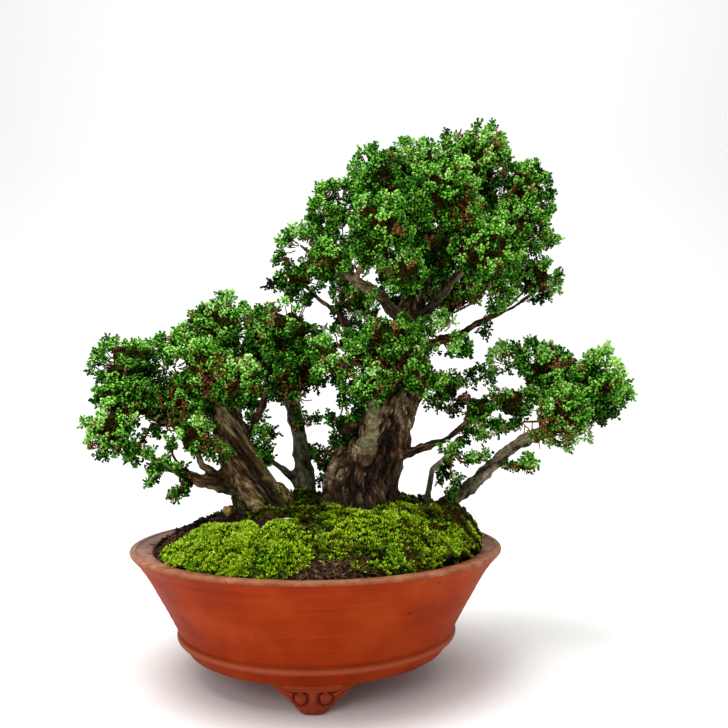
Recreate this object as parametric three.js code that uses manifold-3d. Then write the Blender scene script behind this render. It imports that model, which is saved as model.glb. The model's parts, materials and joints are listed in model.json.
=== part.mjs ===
// A hinoki cypress bonsai: four trunks with cloud-like foliage, in a round unglazed pot on three scroll feet.
// Millimetres, +Z up. The plant is laid out round the pot's axis, with the feet on z = 0; the last lines move
// the whole to stand with the middle of its box over the origin. The front is -Y.
import * as THREE from "three";
import { mergeVertices } from "three/addons/utils/BufferGeometryUtils.js";
import Module from "manifold-3d";

const wasm = await Module();
wasm.setup();

// ---------------------------------------------------------------------------------------------
// Driving sizes
// ---------------------------------------------------------------------------------------------
const GAP = 0.35; // clearance between neighbouring pieces
const POT_SIDES = 36;
const RIM_RADIUS = 110;
const RIM_TOP = 73.2;
const BAND_RADIUS = 82.6; // half-round band near the base
const BASE_HEIGHT = 15; // underside of the pot body, which is the height of the feet
const FLOOR_TOP = 21.5; // inside floor
const MOUTH_RADIUS = 97; // inner edge of the flat rim
const DRAIN_RADIUS = 9;

const FOOT_WIDTH = 44; // at its top, where it meets the base
const FOOT_TOE = 15; // width of the flat that stands on the ground
const FOOT_DEPTH = 17;
const FOOT_FACE = 76.5; // radius that the front faces of the feet follow
const FOOT_LEAN = 3; // how far a foot's front and back draw in towards its toe
const FOOT_ANGLES = [-90, 30, 150];

const SCREEN_RADIUS = 15; // plastic mesh over the drain hole
const SCREEN_THICKNESS = 1;
const SCREEN_OPENING = 5;

const SOIL_SIDES = 18;
const SOIL_EDGE = 70.6; // soil level at the pot's wall
const MOUND_HEIGHT = 23; // rise of the soil from its edge to the trunks
const MOSS_RINGS = 4;
const MOSS_SIDES = 18;
const MOSS_ROOM = 15; // height kept clear over a cushion for itself
const PEBBLE = { x: -52, y: -20, z: 93.5, radius: 3 };

const TWIG_SIDES = 3;
const LIMB_SIDES = 5;

const CORE_SHARE = 0.58; // a foliage cluster's inner mass, as a share of the cluster's radius
const SMALL_PART = 13.5; // a part of a smaller radius has four sprays, and a larger one has eight
const SPRAY_REACH = 1.02; // length of a flat spray of foliage, as a share of its part's radius
const SPRAY_WIDTH = 1.2; // its width, as a share of its length
const SPRAY_HALF_THICKNESS = 1.3;
const TRIES = 9; // placements tried for one spray before its place stays bare

const COLOUR = {
  clay: 0x9c3f20,
  soil: 0x2a1d15,
  moss: 0x6f8f1f,
  mossDark: 0x4f6420,
  pebble: 0x9a7a35,
  screen: 0x1c1d1c,
  barkBrown: 0x5a4230,
  barkGrey: 0x6d6150,
  barkDark: 0x3f2d22,
  barkPale: 0x8b8272,
  leaf: 0x2f7a2c,
  leafBright: 0x4c9a34,
  leafDark: 0x1f5a26,
};

// ---------------------------------------------------------------------------------------------
// Shared helpers
// ---------------------------------------------------------------------------------------------
const radians = THREE.MathUtils.degToRad;
const clamp = THREE.MathUtils.clamp;
const mix = THREE.MathUtils.lerp;

/** A seeded random source, so that every build draws the same plant. */
function seeded(text) {
  let state = 2166136261;
  for (const letter of text) state = Math.imul(state ^ letter.charCodeAt(0), 16777619);
  return () => {
    state = (state + 0x6d2b79f5) | 0;
    let value = Math.imul(state ^ (state >>> 15), 1 | state);
    value = (value + Math.imul(value ^ (value >>> 7), 61 | value)) ^ value;
    return ((value ^ (value >>> 14)) >>> 0) / 4294967296;
  };
}

/** A closed three.js geometry as a solid. Triangles that merging has closed up are left out. */
function solidOf(geometry) {
  const bare = geometry.clone();
  bare.deleteAttribute("normal");
  bare.deleteAttribute("uv");
  const merged = mergeVertices(bare, 1e-3);
  const kept = [];
  for (let i = 0; i < merged.index.count; i += 3) {
    const [a, b, c] = [0, 1, 2].map((k) => merged.index.getX(i + k));
    if (a !== b && b !== c && a !== c) kept.push(a, b, c);
  }
  return new wasm.Manifold(
    new wasm.Mesh({
      numProp: 3,
      vertProperties: new Float32Array(merged.attributes.position.array),
      triVerts: new Uint32Array(kept),
    }),
  );
}

/** A solid as a three.js geometry. */
function geometryOf(solid) {
  const { numProp, vertProperties, triVerts } = solid.getMesh();
  const places = new Float32Array((vertProperties.length / numProp) * 3);
  for (let i = 0; i * 3 < places.length; i++) {
    places.set(vertProperties.subarray(i * numProp, i * numProp + 3), i * 3);
  }
  const geometry = new THREE.BufferGeometry();
  geometry.setAttribute("position", new THREE.BufferAttribute(places, 3));
  geometry.setIndex(new THREE.BufferAttribute(new Uint32Array(triVerts), 1));
  geometry.computeVertexNormals();
  return geometry;
}

/** All solids of a list as one. */
function joined(solids) {
  return solids.reduce((whole, piece) => whole.add(piece));
}

/** The largest body of a solid: a loose scrap that a cut leaves is dropped. */
function largestBody(solid) {
  return solid.decompose().reduce((best, body) => (body.volume() > best.volume() ? body : best));
}

/** Whether two solids share more than a trace of space. */
function meets(a, b) {
  const boxA = a.boundingBox();
  const boxB = b.boundingBox();
  const apart = [0, 1, 2].some((k) => boxA.max[k] < boxB.min[k] || boxB.max[k] < boxA.min[k]);
  return !apart && a.intersect(b).volume() > 0.001;
}

/** A profile of [radius, height] pairs turned round the pot's axis. */
function turned(profile, sides) {
  const points = profile.map(([radius, height]) => new THREE.Vector2(radius, height));
  return new THREE.LatheGeometry(points, sides).rotateX(Math.PI / 2);
}

// ---------------------------------------------------------------------------------------------
// Pot: one fired body with three feet
// ---------------------------------------------------------------------------------------------
/** The pot's section: from the drain hole out along the underside, up the wall, over the rim, back inside. */
function potProfile() {
  return [
    [DRAIN_RADIUS, BASE_HEIGHT + 1],
    [70, BASE_HEIGHT + 1],
    [74.5, BASE_HEIGHT],
    [77.4, BASE_HEIGHT + 2],
    [79.6, 21],
    [BAND_RADIUS, 22.8],
    [BAND_RADIUS, 24.8],
    [82, 27],
    [92.8, 46],
    [98.4, 56],
    [104.6, 65.6],
    [RIM_RADIUS - 1, 70],
    [RIM_RADIUS, RIM_TOP - 2],
    [RIM_RADIUS - 0.6, RIM_TOP],
    [RIM_RADIUS - 3.6, RIM_TOP],
    [RIM_RADIUS - 4, RIM_TOP - 0.8],
    [MOUTH_RADIUS, RIM_TOP - 1.7],
    [MOUTH_RADIUS - 2.2, RIM_TOP - 6],
    [77, 28],
    [71, FLOOR_TOP + 0.5],
    [DRAIN_RADIUS, FLOOR_TOP],
    [DRAIN_RADIUS, BASE_HEIGHT + 1],
  ];
}

/** One scroll foot, at the front: a fan-shaped bracket with two round scrolls and a ridge between them. */
function foot() {
  const half = FOOT_WIDTH / 2;
  const toe = FOOT_TOE / 2;
  const top = BASE_HEIGHT + 4; // sunk into the body above
  const outline = new THREE.Shape();
  outline.moveTo(-toe + 1.5, 0);
  outline.lineTo(toe - 1.5, 0);
  outline.quadraticCurveTo(toe + 1.5, 0.4, toe + 3, 3.2);
  outline.quadraticCurveTo(toe + 9, 7.2, half, BASE_HEIGHT + 0.5);
  outline.lineTo(half - 1, top);
  outline.lineTo(-half + 1, top);
  outline.lineTo(-half, BASE_HEIGHT + 0.5);
  outline.quadraticCurveTo(-toe - 9, 7.2, -toe - 3, 3.2);
  outline.quadraticCurveTo(-toe - 1.5, 0.4, -toe + 1.5, 0);
  const bracket = new THREE.ExtrudeGeometry(outline, {
    depth: FOOT_DEPTH,
    bevelEnabled: false,
    curveSegments: 2,
  }).rotateX(Math.PI / 2);
  // The front face follows the round base, and leans back towards the toe.
  const place = bracket.attributes.position;
  for (let i = 0; i < place.count; i++) {
    const [x, y, z] = [place.getX(i), place.getY(i), place.getZ(i)];
    const front = -Math.sqrt(FOOT_FACE ** 2 - x ** 2) + (1 - clamp(z / BASE_HEIGHT, 0, 1)) * FOOT_LEAN;
    place.setY(i, y < -FOOT_DEPTH / 2 ? front : front + FOOT_DEPTH - (1 - z / top) * FOOT_LEAN);
  }
  const scrolls = [-1, 1].map((side) =>
    solidOf(
      new THREE.CylinderGeometry(3.4, 4.6, 4, 8)
        .rotateX(Math.PI / 2)
        .translate(side * toe, 1.3 - FOOT_FACE, 8.2),
    ),
  );
  const ridge = solidOf(
    new THREE.CylinderGeometry(1.9, 2.6, 12, 5)
      .rotateX(Math.PI / 2 + 0.12)
      .translate(0, 2.1 - FOOT_FACE, 8.2),
  );
  return joined([solidOf(bracket), ...scrolls, ridge]);
}

function pot() {
  const body = solidOf(turned(potProfile(), POT_SIDES));
  const feet = FOOT_ANGLES.map((angle) => foot().rotate([0, 0, angle + 90]));
  return joined([body, ...feet]);
}

/** The plastic mesh over the drain hole: a round sheet with square openings. */
function drainScreen() {
  const disc = new THREE.CylinderGeometry(SCREEN_RADIUS, SCREEN_RADIUS, SCREEN_THICKNESS, 12);
  const hole = new THREE.BoxGeometry(SCREEN_OPENING, SCREEN_OPENING, 3 * SCREEN_THICKNESS);
  const places = [-3.5, 3.5];
  const openings = places.flatMap((x) => places.map((y) => solidOf(hole.clone().translate(x, y, 0))));
  return openings
    .reduce((rest, opening) => rest.subtract(opening), solidOf(disc.rotateX(Math.PI / 2)))
    .translate([0, 0, FLOOR_TOP + GAP + SCREEN_THICKNESS / 2]);
}

// ---------------------------------------------------------------------------------------------
// Ground: soil and moss
// ---------------------------------------------------------------------------------------------
/** Height of the soil at a point: a dome, steepest near the rim, with low swells. */
function groundHeight(x, y) {
  const share = clamp(Math.hypot(x, y) / MOUTH_RADIUS, 0, 1);
  const swells = 0.8 * Math.sin(x / 11 + 1) * Math.cos(y / 13) * (1 - share ** 4);
  return SOIL_EDGE + MOUND_HEIGHT * (1 - share ** 2.6) + swells;
}

/** The soil inside the pot, with a step in its base for the drain screen. */
function soilBlock() {
  const side = 1.2 + GAP; // in from the wall, so that the flat sides of both clear each other
  const step = SCREEN_RADIUS + 0.6;
  const profile = [
    [0, FLOOR_TOP + 2 * GAP + SCREEN_THICKNESS],
    [step, FLOOR_TOP + 2 * GAP + SCREEN_THICKNESS],
    [step, FLOOR_TOP + GAP + 0.3],
    [70.8 - side, FLOOR_TOP + GAP + 0.8],
    [77 - side, 28],
    [MOUTH_RADIUS - 2.2 - side, RIM_TOP - 6],
    [MOUTH_RADIUS - side, SOIL_EDGE],
    ...[82, 60, 34, 0].map((radius) => [radius, SOIL_EDGE + 1]),
  ];
  const geometry = turned(profile, SOIL_SIDES);
  const place = geometry.attributes.position;
  for (let i = 0; i < place.count; i++) {
    if (place.getZ(i) < SOIL_EDGE - 1e-3) continue;
    place.setZ(i, groundHeight(place.getX(i), place.getY(i)));
  }
  return solidOf(geometry);
}

/** The small worn stone that lies in the moss, grown on all sides by `grow`. */
function pebbleStone(grow = 0) {
  const stone = new THREE.DodecahedronGeometry(PEBBLE.radius + grow, 0).scale(1.2, 1, 0.85).rotateY(0.3);
  return solidOf(stone.translate(PEBBLE.x, PEBBLE.y, PEBBLE.z));
}

/** Everything that moss has to clear from below: the soil's surface and the flat rim, raised by the gap. */
function groundClearance() {
  const profile = [
    [0, FLOOR_TOP],
    [RIM_RADIUS + 8, FLOOR_TOP],
    [RIM_RADIUS + 8, RIM_TOP + GAP],
    [MOUTH_RADIUS - 1.2, RIM_TOP + GAP],
    ...[82, 60, 34, 0].map((radius) => [radius, RIM_TOP + 6]),
  ];
  const geometry = turned(profile, SOIL_SIDES);
  const place = geometry.attributes.position;
  for (let i = 0; i < place.count; i++) {
    if (place.getZ(i) < RIM_TOP + 5) continue;
    place.setZ(i, groundHeight(place.getX(i), place.getY(i)) + GAP);
  }
  return solidOf(geometry);
}

// Each cushion: its middle, its half sizes along and across, its turn in degrees and its thickness.
const MOSS = {
  moss_front_left: { x: -47, y: -52, along: 37, across: 30, turn: -42, thick: 6.5, colour: "moss" },
  moss_front: { x: 15, y: -62, along: 34, across: 22, turn: 6, thick: 5, colour: "mossDark" },
  moss_front_right: { x: 66, y: -44, along: 34, across: 25, turn: 52, thick: 6.5, colour: "moss" },
  moss_back: { x: 0, y: 58, along: 62, across: 24, turn: 0, thick: 4.5, colour: "mossDark" },
};

/**
 * A cushion of moss: hummocks that thin out to a ragged edge, down to below the ground. With `grow` it is
 * that much wider and reaches high above its own top, as the room that a later cushion stays out of.
 */
function mossCushion(name, { x, y, along, across, turn, thick }, grow = 0) {
  const random = seeded(name);
  const phase = random() * 6;
  const disc = new THREE.RingGeometry(0, 1, MOSS_SIDES, MOSS_RINGS);
  const edge = (angle) => 1 + 0.1 * Math.sin(3 * angle + phase) + 0.05 * Math.sin(7 * angle + 2 * phase);
  const [cos, sin] = [Math.cos(radians(turn)), Math.sin(radians(turn))];
  const heights = [];
  const spots = disc.attributes.position;
  for (let i = 0; i < spots.count; i++) {
    const angle = Math.atan2(spots.getY(i), spots.getX(i));
    const reach = Math.hypot(spots.getX(i), spots.getY(i));
    const u = reach * (edge(angle) * along + grow) * Math.cos(angle);
    const v = reach * (edge(angle) * across + grow) * Math.sin(angle);
    const px = x + u * cos - v * sin;
    const py = y + u * sin + v * cos;
    const ground = Math.max(groundHeight(px, py), Math.hypot(px, py) > MOUTH_RADIUS - 2 ? RIM_TOP : 0);
    const hummock = 0.72 + 0.28 * Math.sin(px / 4.2 + phase) * Math.cos(py / 3.9 - phase);
    const rise = grow ? MOSS_ROOM : 0.2 + thick * hummock * Math.sqrt(Math.max(0, 1 - reach ** 3));
    heights.push([px, py, ground + rise]);
  }
  return solidOf(skirted(heights, disc.index, MOSS_SIDES, 2 * MOSS_ROOM));
}

/** Closes a disc-like grid of points into a solid: its outer ring drops by `depth` to a flat underside. */
function skirted(points, index, sides, depth) {
  const floor = Math.min(...points.map((p) => p[2])) - depth;
  const all = [...points, ...points.map(([px, py]) => [px, py, floor])];
  const count = points.length;
  const faces = [];
  for (let i = 0; i < index.count; i += 3) {
    const [a, b, c] = [0, 1, 2].map((k) => index.getX(i + k));
    faces.push(a, b, c, count + c, count + b, count + a);
  }
  const first = count - (sides + 1);
  for (let i = first; i < count - 1; i++) {
    faces.push(i, count + i, count + i + 1, i, count + i + 1, i + 1);
  }
  const geometry = new THREE.BufferGeometry();
  geometry.setAttribute("position", new THREE.Float32BufferAttribute(all.flat(), 3));
  geometry.setIndex(faces);
  return geometry;
}

// ---------------------------------------------------------------------------------------------
// Wood
// ---------------------------------------------------------------------------------------------
// Every limb is a list of [x, y, z, radius] from its root to its tip. The first limb of a trunk is its stem,
// which stands about 12 mm deep in the soil. `sides` and `ribs` shape the stem; limbs have five plain sides.
const WOOD = {
  trunk_left: {
    colour: "barkBrown",
    sides: 10,
    ribs: 4,
    limbs: [
      [[-29, -9, 79, 17], [-32, -10, 90, 15.5], [-41, -10, 111, 12.5], [-50, -8, 129, 11.5],
        [-57, -6, 150, 10.2], [-62, -4, 165, 7.5], [-63, 1, 183, 4.5], [-61, 4, 201, 2]],
      [[-43, -11, 104, 5.2], [-58, -15, 108, 4.6], [-72, -20, 113, 4], [-89, -22, 121, 3.2],
        [-104, -21, 129, 2.4], [-118, -20, 140, 1.3]],
      [[-46, -9, 111, 4.4], [-60, -13, 115, 3.4], [-67, -23, 121, 2.8], [-69, -29, 131, 1.4]],
      [[-50, -6, 127, 5.2], [-64, -3, 133, 4.4], [-82, 2, 139, 3.8], [-95, 6, 146, 3.2],
        [-107, 8, 158, 2.6], [-121, 8, 172, 1.4]],
      [[-50, -8, 130, 4.4], [-42, -6, 141, 3.8], [-35, -2, 154, 3.2], [-33, 6, 170, 2.4],
        [-38, 12, 188, 1.3]],
      [[-45, -8, 122, 3.2], [-36, -6, 129, 2.6], [-29, 3, 136, 1.3]],
    ],
  },
  trunk_thin: {
    colour: "barkGrey",
    sides: 8,
    ribs: 3,
    limbs: [
      [[-10, 22, 80, 8.4], [-10, 22, 100, 7], [-12, 22, 121, 5.8], [-15, 20, 140, 5.2],
        [-19, 18, 159, 5], [-20, 15, 177, 3.8], [-20, 8, 195, 1.6]],
      [[-12, 22, 104, 4], [-24, 20, 115, 3], [-31, 13, 121, 2.2], [-34, 1, 124, 1.2]],
    ],
  },
  trunk_main: {
    colour: "barkDark",
    sides: 14,
    ribs: 5,
    limbs: [
      [[25, 2, 76, 29], [27, 0, 90, 26.5], [30, 0, 110, 23.5], [36, 0, 129, 20.8], [43, 2, 147, 18.8],
        [50, 4, 166, 16.5], [54, 6, 184, 14], [56, 8, 200, 11.5], [59, 10, 217, 8.5],
        [64, 12, 240, 6.5], [68, 12, 269, 4.6], [68, 4, 301, 1.8]],
      [[56, 8, 200, 5.6], [47, 0, 212, 5], [35, -8, 225, 4.5], [25, -10, 230, 4], [12, -11, 238, 3.2],
        [-1, -9, 246, 2.4], [-12, -6, 255, 1.3]],
      [[58, 9, 203, 5.8], [66, 1, 213, 5.2], [73, -6, 222, 4.5], [86, -12, 237, 3.6], [103, -12, 250, 2.4],
        [119, -7, 257, 1.3]],
      [[56, 6, 192, 6.4], [73, 12, 196, 5], [88, 16, 201, 4.2], [104, 18, 210, 3.4], [124, 17, 219, 2.5],
        [138, 14, 229, 1.3]],
      [[50, 6, 187, 5.4], [30, 4, 197, 4.2], [18, 2, 205, 3.5], [11, 2, 214, 2.9], [-1, 4, 223, 2.2],
        [-12, 5, 234, 1.3]],
      [[31, -12, 120, 8.5], [30, -23, 128, 7], [32, -28, 137, 4.6], [32, -30, 150, 4.2], [32, -33, 159, 2]],
      [[48, -2, 121, 5.4], [65, -8, 130, 3.8], [79, -10, 136, 3.2], [90, -8, 146, 2.5], [94, 4, 163, 1.3]],
      [[44, -14, 96, 3], [52, -15, 108, 2.2], [55, -15, 117, 1.2]],
    ],
  },
  twig_low: {
    colour: "barkPale",
    sides: 5,
    ribs: 0,
    limbs: [[[65, -16, 84, 2.8], [66, -15, 104, 2.3], [69, -15, 118, 2], [79, -14, 128, 1.1]]],
  },
  trunk_right: {
    colour: "barkPale",
    sides: 8,
    ribs: 3,
    limbs: [
      [[66, 12, 80, 6], [75, 8, 93, 5.2], [89, 4, 102, 4.7], [100, 2, 112, 4.6], [115, 0, 127, 4.3],
        [130, -2, 137, 4], [145, -2, 142, 3.4], [161, 0, 152, 2.6], [171, 0, 164, 1.3]],
    ],
  },
};

/** A tapered limb: a cylinder bent along a smooth curve through the points, grown on all sides by `grow`. */
function limb(points, sides, ribs = 0, grow = 0) {
  const places = points.map(([x, y, z]) => new THREE.Vector3(x, y, z));
  const steps = points.length - 1;
  const curve = new THREE.CatmullRomCurve3(places, false, "centripetal");
  const run = places[steps].clone().sub(places[0]).normalize();
  // The axis that the limb runs along least keeps its section from twisting.
  const across = run.toArray().map(Math.abs);
  const level = new THREE.Vector3().setComponent(across.indexOf(Math.min(...across)), 1);
  const geometry = new THREE.CylinderGeometry(1, 1, 1, sides, steps);
  const place = geometry.attributes.position;
  for (let i = 0; i < place.count; i++) {
    const [x, y, z] = [place.getX(i), place.getY(i), place.getZ(i)];
    const share = clamp(y + 0.5, 0, 1);
    const near = Math.min(steps - 1, Math.floor(share * steps));
    const radius = mix(points[near][3], points[near + 1][3], share * steps - near);
    const angle = Math.atan2(z, x);
    const rib = ribs ? 1 + 0.09 * Math.cos(ribs * angle + 3 * share) * (1 - share) : 1;
    const tangent = curve.getTangent(share);
    const side = new THREE.Vector3().crossVectors(tangent, level).normalize();
    const up = new THREE.Vector3().crossVectors(side, tangent);
    const spot = curve
      .getPoint(share)
      .addScaledVector(side, x * (radius * rib + grow))
      .addScaledVector(up, z * (radius * rib + grow))
      .addScaledVector(tangent, grow * (share === 1 ? 1 : share === 0 ? -1 : 0));
    place.setXYZ(i, spot.x, spot.y, spot.z);
  }
  return solidOf(geometry);
}

/** The twig that carries a cluster: it leaves the nearest limb, sags a little and rises into the cluster. */
function twigTo([x, y, z], limbs) {
  const target = new THREE.Vector3(x, y, z);
  let best = null;
  for (const points of limbs) {
    const curve = new THREE.CatmullRomCurve3(points.map(([a, b, c]) => new THREE.Vector3(a, b, c)));
    for (let share = 0.3; share <= 1; share += 0.05) {
      const from = curve.getPoint(share);
      const cost = from.distanceTo(target) + 1.5 * Math.max(0, from.z - z + 5);
      if (!best || cost < best.cost) {
        best = { cost, from, radius: points[Math.round(share * (points.length - 1))][3] };
      }
    }
  }
  const length = best.from.distanceTo(target);
  const middle = best.from.clone().lerp(target, 0.55);
  middle.z -= 0.12 * length;
  const root = Math.min(0.75 * best.radius, 1.5 + 0.03 * length);
  return [
    [...best.from.toArray(), root],
    [...middle.toArray(), 0.8 * root],
    [x, y, z, 0.9],
  ];
}

// ---------------------------------------------------------------------------------------------
// Foliage
// ---------------------------------------------------------------------------------------------
// Each cluster: the wood that carries it, its colour, and its rounded parts as [x, y, z, radius]. Its twig
// ends in the first part.
const CLUSTERS = {
  leaf_left_tip_low: ["trunk_left", "leafBright", [-121, -20, 142, 19], [-103, -22, 134, 13]],
  leaf_left_tip_high: ["trunk_left", "leaf", [-121, 8, 178, 22], [-97, 14, 177, 19], [-112, -4, 158, 16]],
  leaf_left_crown: ["trunk_left", "leaf", [-62, 5, 204, 22], [-80, -6, 190, 17]],
  leaf_left_crown_right: ["trunk_left", "leaf", [-38, 14, 196, 20]],
  leaf_left_front: ["trunk_left", "leafBright", [-65, -24, 175, 19], [-44, -27, 168, 16]],
  leaf_left_under: ["trunk_left", "leafDark", [-84, -14, 157, 15]],
  leaf_left_low_front: ["trunk_left", "leafBright", [-69, -30, 137, 14]],
  leaf_left_low: ["trunk_left", "leaf", [-94, -25, 124, 13], [-88, -25, 109, 11]],
  leaf_between_low: ["trunk_thin", "leaf", [-34, -3, 124, 13]],
  leaf_between_back: ["trunk_thin", "leafDark", [4, 25, 127, 13], [6, 26, 110, 10]],
  leaf_between_mid: ["trunk_left", "leafDark", [-28, 6, 142, 13]],
  leaf_left_back: ["trunk_left", "leaf", [-84, 42, 186, 22]],
  leaf_left_back_right: ["trunk_left", "leafDark", [-54, 42, 168, 19]],
  leaf_left_back_low: ["trunk_left", "leafDark", [-110, 36, 154, 17]],
  leaf_mid_high: ["trunk_thin", "leaf", [-17, 2, 201, 21]],
  leaf_mid_low: ["trunk_thin", "leafDark", [-13, -8, 174, 17]],
  leaf_thin_side: ["trunk_thin", "leafDark", [-9, 3, 147, 11]],
  leaf_mid_back: ["trunk_thin", "leafDark", [-24, 42, 182, 20]],
  leaf_main_dark: ["trunk_main", "leafDark", [11, -12, 150, 14]],
  leaf_main_left: ["trunk_main", "leaf", [15, -24, 183, 20]],
  leaf_main_front: ["trunk_main", "leafBright", [44, -28, 190, 20]],
  leaf_stub: ["trunk_main", "leafBright", [32, -36, 165, 13]],
  leaf_main_right: ["trunk_main", "leafBright", [72, -20, 196, 18], [64, -24, 172, 16]],
  leaf_main_side: ["trunk_main", "leafDark", [92, 6, 170, 16], [100, 2, 153, 12], [79, 10, 156, 12]],
  leaf_main_back: ["trunk_main", "leaf", [52, 46, 180, 24]],
  leaf_main_back_left: ["trunk_main", "leafDark", [12, 44, 199, 21]],
  leaf_crown_far_left: ["trunk_main", "leaf", [-11, -5, 257, 18], [-11, 4, 235, 17], [8, -16, 242, 16]],
  leaf_crown_left: ["trunk_main", "leaf", [12, -8, 275, 21], [36, -8, 292, 22]],
  leaf_crown_front_left: ["trunk_main", "leafBright", [36, -38, 256, 22], [52, -36, 234, 14],
    [38, -28, 221, 11]],
  leaf_crown_top: ["trunk_main", "leafBright", [64, 2, 307, 22], [97, -4, 307, 23]],
  leaf_crown_right_high: ["trunk_main", "leaf", [128, 2, 289, 21]],
  leaf_crown_right: ["trunk_main", "leaf", [122, -8, 262, 21]],
  leaf_crown_front: ["trunk_main", "leafBright", [74, -38, 276, 23], [97, -34, 248, 21]],
  leaf_crown_inner: ["trunk_main", "leafDark", [72, -22, 248, 17]],
  leaf_crown_low_right: ["trunk_main", "leaf", [106, 4, 229, 19]],
  leaf_crown_branch: ["trunk_main", "leaf", [139, 14, 235, 17]],
  leaf_crown_back_left: ["trunk_main", "leaf", [6, 42, 270, 23]],
  leaf_crown_back: ["trunk_main", "leaf", [54, 46, 296, 27]],
  leaf_crown_back_right: ["trunk_main", "leaf", [102, 44, 288, 26]],
  leaf_crown_back_low: ["trunk_main", "leafDark", [122, 44, 250, 21]],
  leaf_crown_back_mid: ["trunk_main", "leafDark", [64, 50, 240, 24]],
  leaf_right_high: ["trunk_right", "leaf", [140, 0, 179, 21], [115, 6, 177, 17], [119, 8, 156, 15]],
  leaf_right_tip: ["trunk_right", "leafBright", [172, 0, 171, 22], [175, 5, 153, 14]],
  leaf_right_front: ["trunk_right", "leaf", [150, -12, 151, 17], [158, -14, 135, 10]],
  leaf_right_under: ["trunk_right", "leaf", [128, -8, 122, 8]],
  leaf_right_back: ["trunk_right", "leafDark", [158, 36, 167, 20]],
  leaf_low_spray: ["twig_low", "leaf", [82, -12, 132, 12], [99, -8, 140, 11]],
};

// The outline of a flat spray, three lobes with two notches, as [degrees from its axis, share of its size].
const SPRAY_OUTLINE = [[-74, 1], [-40, 0.6], [-19, 0.95], [19, 0.95], [40, 0.6], [74, 1]];

/**
 * One flat spray that grows from a three-cornered side of the inner mass: it rises from the edge a-b, leans
 * over the corner c and curls back at its lobes. With `grow` it is that much larger on all sides. Returns the
 * corners of its triangles in order, open where it stands on the side.
 */
function spray([a, b, c], outward, length, lean, grow = 0) {
  const base = a.clone().lerp(b, 0.5);
  const across = b.clone().sub(a).normalize();
  const toward = c.clone().sub(base).normalize();
  const along = outward.clone().multiplyScalar(Math.cos(lean)).addScaledVector(toward, Math.sin(lean));
  const facing = outward.clone().multiplyScalar(Math.sin(lean)).addScaledVector(toward, -Math.cos(lean));
  const middle = base.clone().addScaledVector(along, 0.52 * length);
  const outline = SPRAY_OUTLINE.map(([degrees, reach]) =>
    middle
      .clone()
      .addScaledVector(along, (0.48 * length * reach + grow) * Math.cos(radians(degrees)))
      .addScaledVector(across, (0.5 * SPRAY_WIDTH * length * reach + grow) * Math.sin(radians(degrees)))
      .addScaledVector(facing, -0.09 * length * reach),
  );
  const top = middle.clone().addScaledVector(facing, SPRAY_HALF_THICKNESS + grow);
  const under = middle.clone().addScaledVector(facing, -SPRAY_HALF_THICKNESS - grow);
  const rim = [a, ...outline, b];
  const blade = rim.slice(1).flatMap((point, i) => [top, point, rim[i], under, rim[i], point]);
  return [...blade, top, a, b, under, b, c, under, c, a];
}

/** A closed solid from the corners of its triangles in order. */
function solidOfCorners(corners) {
  return solidOf(new THREE.BufferGeometry().setFromPoints(corners));
}

/** The inner mass of one part of a cluster: a ball of eight or four sides, turned at random. */
function innerMass(name, [x, y, z, radius]) {
  const random = seeded(name + x + y);
  const size = radius * CORE_SHARE;
  const small = radius < SMALL_PART;
  const ball = small ? new THREE.TetrahedronGeometry(size * 1.25) : new THREE.OctahedronGeometry(size * 1.1);
  ball.rotateX(6 * random()).rotateY(6 * random()).rotateZ(6 * random());
  return ball.translate(x, y, z);
}

/** The necks of a cluster: a short stem from each part to the nearest part before it. */
function clusterNecks(parts) {
  return parts.slice(1).map(([x, y, z, radius], i) => {
    const distance = (part) => Math.hypot(part[0] - x, part[1] - y, part[2] - z);
    const [fx, fy, fz] = parts.slice(0, i + 1).sort((p, q) => distance(p) - distance(q))[0];
    return limb([[fx, fy, fz, radius * 0.4], [x, y, z, radius * 0.3]], 4);
  });
}

/** The inner masses and necks of a cluster, without its sprays. */
function clusterCore(name, parts) {
  return joined([...parts.map((part) => solidOf(innerMass(name, part))), ...clusterNecks(parts)]);
}

/**
 * A whole cluster. One spray grows from each side of its inner masses. It is turned and made smaller until it
 * crosses neither its neighbours nor any wood, and a side where none fits stays bare.
 */
function cluster(name, parts, neighbours, stems) {
  const random = seeded(name);
  const placed = [];
  const bodies = parts.map((part) => {
    const centre = new THREE.Vector3(...part);
    const sides = innerMass(name, part).attributes.position;
    const corners = [];
    for (let i = 0; i < sides.count; i += 3) {
      const side = [0, 1, 2].map((k) => new THREE.Vector3().fromBufferAttribute(sides, i + k));
      const outward = side[0].clone().add(side[1]).add(side[2]).divideScalar(3).sub(centre).normalize();
      let grown = side;
      for (let attempt = 0; attempt < TRIES && grown === side; attempt++) {
        const first = Math.floor(3 * random());
        const turned = [0, 1, 2].map((k) => side[(k + first) % 3]);
        const length = part[3] * SPRAY_REACH * mix(0.9, 1.15, random()) * (1 - 0.08 * attempt);
        const lean = radians(mix(40, 62, random()) - 3 * attempt);
        const closing = [...turned].reverse();
        const swollen = solidOfCorners([...spray(turned, outward, length, lean, GAP), ...closing]);
        if (neighbours.some((other) => meets(swollen, other))) continue;
        const open = spray(turned, outward, length, lean);
        const leaf = solidOfCorners([...open, ...closing]);
        if ([...placed, ...stems].some((other) => meets(leaf, other))) continue;
        placed.push(leaf);
        grown = open;
      }
      corners.push(...grown);
    }
    return solidOfCorners(corners);
  });
  const whole = joined([...bodies, ...clusterNecks(parts)]);
  const crossed = stems.filter((stem) => meets(whole, stem));
  return largestBody(crossed.reduce((rest, stem) => rest.subtract(stem), whole));
}

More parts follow.
